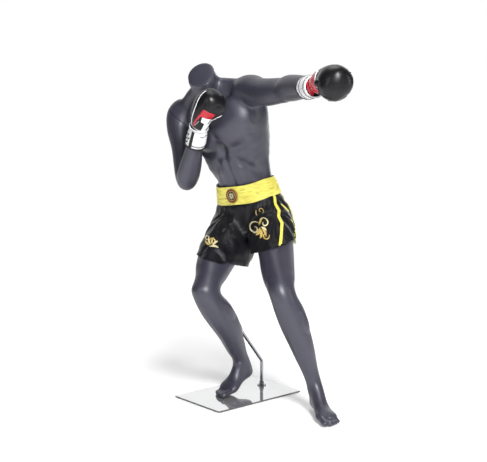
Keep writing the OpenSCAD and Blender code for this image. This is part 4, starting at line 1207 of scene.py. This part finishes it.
def folds(p):
    """Depth of the hanging folds of the cloth at points in mm."""
    round_body = np.arctan2(p[:, 1] - 62, -(p[:, 0] - 116))
    to_left = p[:, 1] < 40
    leg = np.where(to_left, np.arctan2(p[:, 1] + 128, -(p[:, 0] - 80)),
                   np.arctan2(p[:, 1] - 76, -(p[:, 0] - 4)))
    down = (BAND_MIDDLE - p) @ WAIST_AXIS - BAND_HEIGHT / 2
    gather = np.exp(-(down / 34.0) ** 2) * 1.3 * np.sin(64 * round_body + 2.2 * noise(p / 60, 1))
    low = step_up(down, 20, 110)
    sway = 1.1 * noise(p * [0.011, 0.011, 0.006], 2)
    long = np.sin(15 * round_body + 3.0 * sway) * (1 - low) * step_up(down, 4, 50)
    long2 = np.sin(9 * leg + 3.4 * sway + 1) * low
    ridge = np.sign(long) * np.abs(long) ** 0.8 * 2.6 + np.sign(long2) * np.abs(long2) ** 0.8 * 3.4
    crumple = 1.5 * noise(p * [0.028, 0.028, 0.019], 4) + 0.8 * noise(p * [0.07, 0.07, 0.045], 6)
    cross = (1.6 * np.sin(p[:, 2] * 0.16 + 1.8 * noise(p / 70, 8)) * step_up(down, 120, 190)
             * np.where(to_left, 0.3, 1))
    edge = (BAND_DIP + BAND_DEEPER) * band_facing(p)
    shown = step_up(down, edge - 2, edge + 14)
    return (gather + ridge + crumple + cross) * shown - 4.5 * (1 - shown)


trunks = trunks_form("trunks_cloth")
down_cut = BAND_MIDDLE - WAIST_AXIS * (BAND_HEIGHT / 2 - 12)
cut(trunks, down_cut, WAIST_AXIS, False)
cut(trunks, RIGHT_HEM, RIGHT_HEM_DOWN, False,
    where=lambda p: p[1] > -40 and p[2] < 640 and (p[1] > -20 or p[2] < 600))
cut(trunks, LEFT_HEM, LEFT_HEM_DOWN, False, where=lambda p: p[1] < -24 and p[2] < 720)
subdivided(trunks)
co = coords(trunks)
set_coords(trunks, co + normals(trunks) * (folds(co / MM) * MM)[:, None])
for leg in (right_leg_body, left_leg_body):
    pushed_off(trunks, tree(leg), LEG_CLEARANCE)
# the left leg's unlocking turn needs room too
hip_point = left_hip_seam * MM
for angle in TURN_STEPS:
    turned_leg = copied(left_leg_body, "turned_leg")
    turn = np.array(Matrix.Rotation(math.radians(angle), 3, Vector(LEFT_HIP_AXIS)))
    set_coords(turned_leg, (coords(turned_leg) - hip_point) @ turn.T + hip_point)
    pushed_off(trunks, tree(turned_leg), TURN_CLEARANCE)
    bpy.data.objects.remove(turned_leg)
softened(trunks, 4)
cloth_skin = tree(trunks)
thickened(trunks, CLOTH_THICK)
finish_piece(trunks, "hips", "black_satin", replaces=["shorts_right_panel", "shorts_left_panel"])

# directions of the drawing on the cloth: across to the figure's left, up, and out of the front left
ACROSS, OUT = unit([0.757, -0.654, 0]), unit([-0.654, -0.757, 0])
CENTRE = arr(60, -100, 723)


def on_cloth(u, v, lift, across=ACROSS, out=OUT, centre=CENTRE):
    """Point in metres on the cloth, u mm across and v mm up from the centre of its drawing."""
    start = Vector((centre + across * u + UP * v + out * 420) * MM)
    hit, normal, _, _ = cloth_skin.ray_cast(start, Vector(-out))
    if hit is None:
        return None
    if normal.dot(Vector(out)) < 0:
        normal = -normal
    return np.array(hit + normal * lift * MM)


def cloth_ribbon(name, points, widths, slot, look=None, lift=0.7, steps=8, sharp=False, **view):
    """A flat strip sewn on the cloth along [across, up] points, with a width at each."""
    rows = np.column_stack([np.array(points, float), widths])
    if sharp:
        t = np.linspace(0, len(rows) - 1, (len(rows) - 1) * steps + 1)
        rows = np.column_stack([np.interp(t, range(len(rows)), rows[:, k]) for k in range(3)])
    else:
        rows = smoothed(rows, steps)
    tangent = np.gradient(rows[:, :2], axis=0)
    tangent /= np.linalg.norm(tangent, axis=1)[:, None]
    verts = []
    for (u, v, w), t in zip(rows, tangent):
        line = [on_cloth(u - t[1] * k * w / 2, v + t[0] * k * w / 2, lift, **view)
                for k in (-1, -0.5, 0, 0.5, 1)]
        if any(p is None for p in line):
            continue
        verts += line
    count = len(verts) // 5
    if count < 2:
        return None
    piece = mesh_object(name, verts, grid_faces(count, 5, False))
    thickened(piece, RIBBON_THICK, 1)
    return finish_piece(piece, "hips", slot, look)


def scroll(name, u, v, size, start, turns, wide, look, **view):
    """A tapering spiral of embroidery."""
    t = np.linspace(0, 1, 26)
    r = size * (1 - 0.86 * t)
    a = math.radians(start) + turns * 2 * math.pi * t
    points = np.column_stack([u + r * np.cos(a), v + r * np.sin(a)])
    return cloth_ribbon(name, points, wide * np.sin(math.pi * (0.12 + 0.85 * t)), "yellow_trim", look,
                        0.6, 2, **view)


def leaf(name, u, v, length, turn, wide, look, bend=0.25, **view):
    """A pointed leaf of embroidery."""
    t = np.linspace(0, 1, 9)
    a = math.radians(turn)
    x, y = t * length, bend * length * t * (1 - t) * 2
    points = np.column_stack([u + x * math.cos(a) - y * math.sin(a), v + x * math.sin(a) + y * math.cos(a)])
    return cloth_ribbon(name, points, wide * np.sin(math.pi * (0.04 + 0.92 * t)), "yellow_trim", look,
                        0.8, 2, **view)


stripe = cloth_ribbon(
    "trunks_stripe_front",
    [(32, 122), (38, 100), (41, 74), (55, 50), (52, 30), (65, 4), (60, -40), (50, -96)],
    [11, 11, 11, 12, 12, 12, 12, 12], "yellow_trim", sharp=True)
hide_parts("shorts_front_stripe")
flank = dict(across=unit([0.95, 0.3, 0]), out=unit([0.3, -0.95, 0]), centre=arr(120, -60, 723))
side = cloth_ribbon("trunks_stripe_side", [(58, 112), (64, 60), (60, 0), (64, -60)], [7, 8, 8, 7],
                    "yellow_trim", **flank)
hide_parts("shorts_side_stripe")
for k, (v, w) in enumerate(((62, 13), (2, 13), (-44, 10))):
    cloth_ribbon("trunks_chevron_%d" % k, [(8, v + 12), (22, v), (40, v - 20)], [4, w, 6], "yellow_trim",
                 sharp=True, **flank)
slit = cloth_ribbon("trunks_slit_edge", [(10, -30), (22, -62), (34, -98)], [5, 6, 6], "yellow_trim", **flank)
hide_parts("shorts_slit_trim")
# short fringe along the slit
strands = ([], [])
for k, t in enumerate(np.linspace(0, 1, 34)):
    root = None
    for u in np.linspace(113 + 3 * t, 84, 15):
        root = on_cloth(u, -40 - 66 * t, 1.2)
        if root is not None:
            break
    if root is None:
        continue
    root = root / MM
    swing = ACROSS * (5 + 1.5 * math.sin(7.3 * k)) + OUT * (3 + math.cos(5.1 * k))
    strands[k % 4 == 1].append(spindle([root, root + swing * 0.6 - UP * 7, root + swing - UP * 20],
                                       [1.5, 1.4, 0.6], 8, 3))
for name, made, slot in (("dark", strands[0], "black_satin"), ("pale", strands[1], "yellow_trim")):
    if made:
        finish_piece(merged("trunks_fringe_" + name, made), "hips", slot)
for k, (u, v, size, start, turns, wide, look) in enumerate((
        (-44, -18, 26, 60, 1.15, 6, "pale_thread"), (-6, 6, 20, 150, -1.1, 5, "pale_thread"),
        (-20, 50, 13, -60, 1.0, 2.6, "gold_thread"), (-2, -40, 15, 20, -1.0, 5, "gold_thread"),
        (-214, -76, 17, 200, -1.0, 4.5, "gold_thread"), (-238, -66, 11, 20, 0.9, 3.5, "pale_thread"))):
    scroll("embroidery_scroll_%d" % k, u, v, size, start, turns, wide, look)
for k, (u, v, length, turn, wide, look) in enumerate((
        (-24, -12, 34, -118, 12, "gold_thread"), (-22, -16, 36, -92, 11, "gold_thread"),
        (-16, -14, 34, -62, 10, "gold_thread"), (-20, -10, 26, -30, 8, "pale_thread"),
        (-26, -4, 26, 62, 8, "gold_thread"), (-34, 30, 22, 100, 4, "gold_thread"),
        (-224, -86, 26, 150, 8, "gold_thread"), (-222, -84, 26, 110, 8, "pale_thread"),
        (-218, -84, 26, 70, 8, "gold_thread"), (-214, -88, 26, 34, 8, "pale_thread"),
        (-226, -92, 36, -6, 7, "pale_thread"))):
    leaf("embroidery_leaf_%d" % k, u, v, length, turn, wide, look)


# ------------------------------------------------------------------ waistband and badge
def trunk_ring(height, grow, sides, pleat=None):
    """Ring of points round the waist, height mm up from the band's middle, which dips at the front."""
    rows = smoothed(SEAT[3:], 12)
    a = round_angles(sides)
    x, y = squarer(np.cos(a), 0.86), squarer(np.sin(a), 0.86)
    lines = []
    for k, s in enumerate(rows):
        across, front = section(rows, k, TRUNK_FRONT_LOW, TRUNK_FRONT_HIGH, 0.4)
        hx, hy = np.where(x >= 0, s[3], s[4]) + grow, np.where(y >= 0, s[5], s[6]) + grow
        lines.append(s[:3] + np.outer(x * hx, across) + np.outer(y * hy, front))
    lines = np.array(lines)
    up = (lines - BAND_MIDDLE) @ WAIST_AXIS
    middle = np.array([[np.interp(0, up[:, i], lines[:, i, c]) for c in range(3)] for i in range(sides)])
    to_left = (middle - BAND_MIDDLE) @ np.cross(BAND_FRONT, WAIST_AXIS)
    dip = BAND_DIP + BAND_DEEPER * (0.5 - height / BAND_HEIGHT)
    level = height - dip * band_facing(middle) + BAND_LIFT * step_up(np.abs(to_left), 60, 120)
    ring = np.array([[np.interp(level[i], up[:, i], lines[:, i, c]) for c in range(3)] for i in range(sides)])
    if pleat is not None:
        out = ring - ring.mean(0)
        out = out - np.outer(out @ WAIST_AXIS, WAIST_AXIS)
        out /= np.linalg.norm(out, axis=1)[:, None]
        ring = ring + out * pleat(a, height)[:, None]
    return ring


def ruche(a, h):
    """Fine gathers of the elastic waistband between its rows of stitching."""
    rows = np.array([-24.0, -8.0, 8.0, 24.0])
    close = np.exp(-((h - rows) / 2.6) ** 2).sum()
    body = np.sin(118 * a + 1.6 * np.sin(5 * a + h * 0.05)) + 0.6 * np.sin(71 * a + 2 + h * 0.06)
    swell = 2.4 * math.sqrt(max(0, 1 - (h / 39) ** 2))
    soft = (1.1 * np.sin(13 * a + 0.09 * h) * np.sin(0.12 * h + 3 * a)
            + 0.9 * np.sin(0.42 * h + 2.2 * np.sin(7 * a)))
    middle = 1 - (h / 37) ** 4
    return swell + (body * (0.55 + 0.6 * close) - 1.4 * close + soft) * middle


def band_piece(name, heights, inner_heights, grow_out, grow_in, pleat):
    """A closed band round the waist, from rings up its outer face and down its inner one."""
    rings = np.array([trunk_ring(h, grow_out, BAND_SIDES, pleat) for h in heights]
                     + [trunk_ring(h, grow_in, BAND_SIDES) for h in inner_heights])
    return mesh_object(name, rings.reshape(-1, 3) * MM, loop_faces(len(rings), BAND_SIDES))


heights = np.linspace(-37, 37, 60)
waistband = band_piece("waistband_ruched", heights, heights[::-6], 8.2, 6.9, ruche)
finish_piece(waistband, "hips", "yellow_satin", replaces=["waistband"])
edge_sides = 121
edge_ring = trunk_ring(37.6, 7.6, edge_sides)
edge = merged("waistband_edge", [spindle(
    [edge_ring[i % edge_sides] for i in range(edge_sides + 1)], [1.5] * (edge_sides + 1), 10, 1)])
finish_piece(edge, "hips", "yellow_trim", "dark_mark")


def ribs(a, h):
    """Knitted ribs of the elastic inside the waistband."""
    return 0.35 * np.sin(180 * a) + 0.25 * math.sin(h * 1.9)


heights = np.linspace(-32, 32, 34)
elastic = band_piece("waistband_elastic", heights, heights[::-4], 6.0, 4.9, ribs)
finish_piece(elastic, "hips", "elastic", replaces=["waist_elastic"])

low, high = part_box("waist_badge")
badge_middle = (np.array(low) + np.array(high)) / 2 / MM
badge_middle = badge_middle + BAND_FRONT * 0.4 - WAIST_AXIS * BAND_DIP
BADGE_SIDES = 72


def on_badge(verts):
    """Verts drawn about the badge's middle, in metres, put in their place."""
    return placed(verts, badge_middle, BAND_FRONT, WAIST_AXIS)


def badge_part(name, profile, look, replaces=()):
    verts, faces = revolved(profile, BADGE_SIDES)
    return finish_piece(mesh_object(name, on_badge(verts), faces), "hips", "badge", look, replaces)


badge_part("badge_disc", [(1, -1.6), (29.4, -1.6), (30.6, -1.0), (30.6, 0.6), (29.8, 1.0), (1, 1.0)], "badge",
           replaces=["waist_badge"])
badge_part("badge_field", [(1, 0.4), (18.6, 0.4), (18.6, 1.3), (1, 1.4)], "dark_mark")
for name, radius in (("rim", 29.0), ("ring", 20.2)):
    a = np.linspace(0, 2 * math.pi, BADGE_SIDES + 1)
    flat_ring = np.column_stack([radius * np.cos(a), radius * np.sin(a), np.full(len(a), 1.2)])
    cord = spindle(on_badge(flat_ring * MM) / MM, [0.9] * len(a), 8, 1)
    finish_piece(merged("badge_" + name, [cord]), "hips", "badge", "gold_thread")
star = []
for k in range(8):
    a = k * math.pi / 4
    star.append(ellipsoid((9.0 * math.cos(a), 9.0 * math.sin(a), 1.5), (6.2, 1.6, 0.7),
                          [(math.cos(a), math.sin(a), 0), (-math.sin(a), math.cos(a), 0), (0, 0, 1)], 16, 10))
star = [(on_badge(v), f) for v, f in star]
finish_piece(merged("badge_star", star), "hips", "badge", "pale_thread")


# ------------------------------------------------------------------ plate edge
def plate_outline(grow, corner=4.0, steps=6):
    """Points round the base plate's outline, in mm, grown by a margin."""
    low, high = (np.array(p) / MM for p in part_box("base_plate"))
    line = []
    for k, (sx, sy) in enumerate(((1, 1), (-1, 1), (-1, -1), (1, -1))):
        middle = np.array([(high[0] if sx > 0 else low[0]) - sx * corner,
                           (high[1] if sy > 0 else low[1]) - sy * corner])
        for a in np.linspace(0, math.pi / 2, steps) + k * math.pi / 2:
            line.append(middle + (corner + grow) * np.array([math.cos(a), math.sin(a)]))
    return np.array(line), low[2], high[2]


rings = []
for grow, part in ((0.1, 0.06), (0.7, 0.16), (0.7, 0.86), (0.1, 0.97), (-0.6, 0.97), (-0.6, 0.06)):
    outline, low, high = plate_outline(grow)
    rings.append(np.column_stack([outline, np.full(len(outline), low + (high - low) * part)]))
edge_strip = mesh_object("plate_edge", np.array(rings).reshape(-1, 3) * MM,
                         loop_faces(len(rings), len(rings[0])), False)
finish_piece(edge_strip, "base", "mirror_plate", "dark_steel")


# ------------------------------------------------------------------ stage and light
def backdrop_material(name, colour):
    """Pale floor that turns into the plain white of the room at a distance."""
    n = Nodes(name)
    far = n.new("ShaderNodeVectorMath", operation="LENGTH")
    n.link(n.place, far.inputs[0])
    away = n.span(far.outputs["Value"], 0.9, 2.8, 0, 1)
    near_colour = n.mix(n.noise(1.5, 2), tuple(c * 0.985 for c in colour), colour)
    n.colour(n.mix(away, near_colour, (0.0, 0.0, 0.0)))
    n.roughness(n.span(n.noise(40, 2), 0.3, 0.7, 0.85, 0.95))
    n.link(n.span(far.outputs["Value"], 0.6, 1.7, 0.24, 1.0), n.shader.inputs["Emission Strength"])
    return n.set(Emission_Color=(1, 1, 1, 1), Specular_IOR_Level=0.1).material


FLOOR_RADIUS, FLOOR_TOP = 14000, -0.4
verts, faces = capped(np.array([
    [[FLOOR_RADIUS * math.cos(a), FLOOR_RADIUS * math.sin(a), h]
     for a in np.linspace(0, 2 * math.pi, 64, endpoint=False)]
    for h in (-6, FLOOR_TOP)]))
floor = mesh_object("floor", verts, faces, False)
floor.data.materials.append(backdrop_material("floor_pale", (0.93, 0.93, 0.935)))

world = bpy.data.worlds.new("studio")
bpy.context.scene.world = world
world.use_nodes = True
sky = world.node_tree
background = sky.nodes["Background"]
background.inputs["Color"].default_value = (1, 1, 1, 1)
# what lights the object: bright behind it, dim on the camera's side; what is seen is plain white
where = sky.nodes.new("ShaderNodeTexCoord")
towards = sky.nodes.new("ShaderNodeVectorMath")
towards.operation = "DOT_PRODUCT"
towards.inputs[1].default_value = (0.60, 0.73, 0.32)
sky.links.new(where.outputs["Generated"], towards.inputs[0])
ramp = sky.nodes.new("ShaderNodeMapRange")
ramp.interpolation_type = "SMOOTHSTEP"
for key, number in (("From Min", 0.5), ("From Max", 0.92), ("To Min", 0.03), ("To Max", 0.95)):
    ramp.inputs[key].default_value = number
sky.links.new(towards.outputs["Value"], ramp.inputs["Value"])
path = sky.nodes.new("ShaderNodeLightPath")
choose = sky.nodes.new("ShaderNodeMix")
choose.data_type = "FLOAT"
choose.inputs[3].default_value = 1.0
sky.links.new(path.outputs["Is Camera Ray"], choose.inputs[0])
sky.links.new(ramp.outputs["Result"], choose.inputs[2])
sky.links.new(choose.outputs[0], background.inputs["Strength"])
MIDDLE = arr(0, -0.1, 0.85)


def softbox(name, place, size, power):
    """A soft rectangular lamp that faces the figure's middle."""
    light = bpy.data.lights.new(name, "AREA")
    light.shape, light.size, light.size_y, light.energy = "RECTANGLE", size[0], size[1], power
    lamp = bpy.data.objects.new(name, light)
    bpy.context.scene.collection.objects.link(lamp)
    lamp.location = place
    lamp.rotation_euler = (Vector(MIDDLE) - Vector(place)).to_track_quat("-Z", "Y").to_euler()


softbox("key", (-1.5, -3.4, 2.9), (1.1, 1.5), 215)
softbox("left", (-3.6, -1.0, 2.0), (0.6, 1.6), 18)
softbox("right", (2.2, -3.2, 1.7), (0.5, 1.8), 16)
softbox("top", (0.2, 0.0, 3.4), (1.4, 1.4), 18)
softbox("back", (2.8, 1.0, 1.8), (0.7, 2.2), 14)
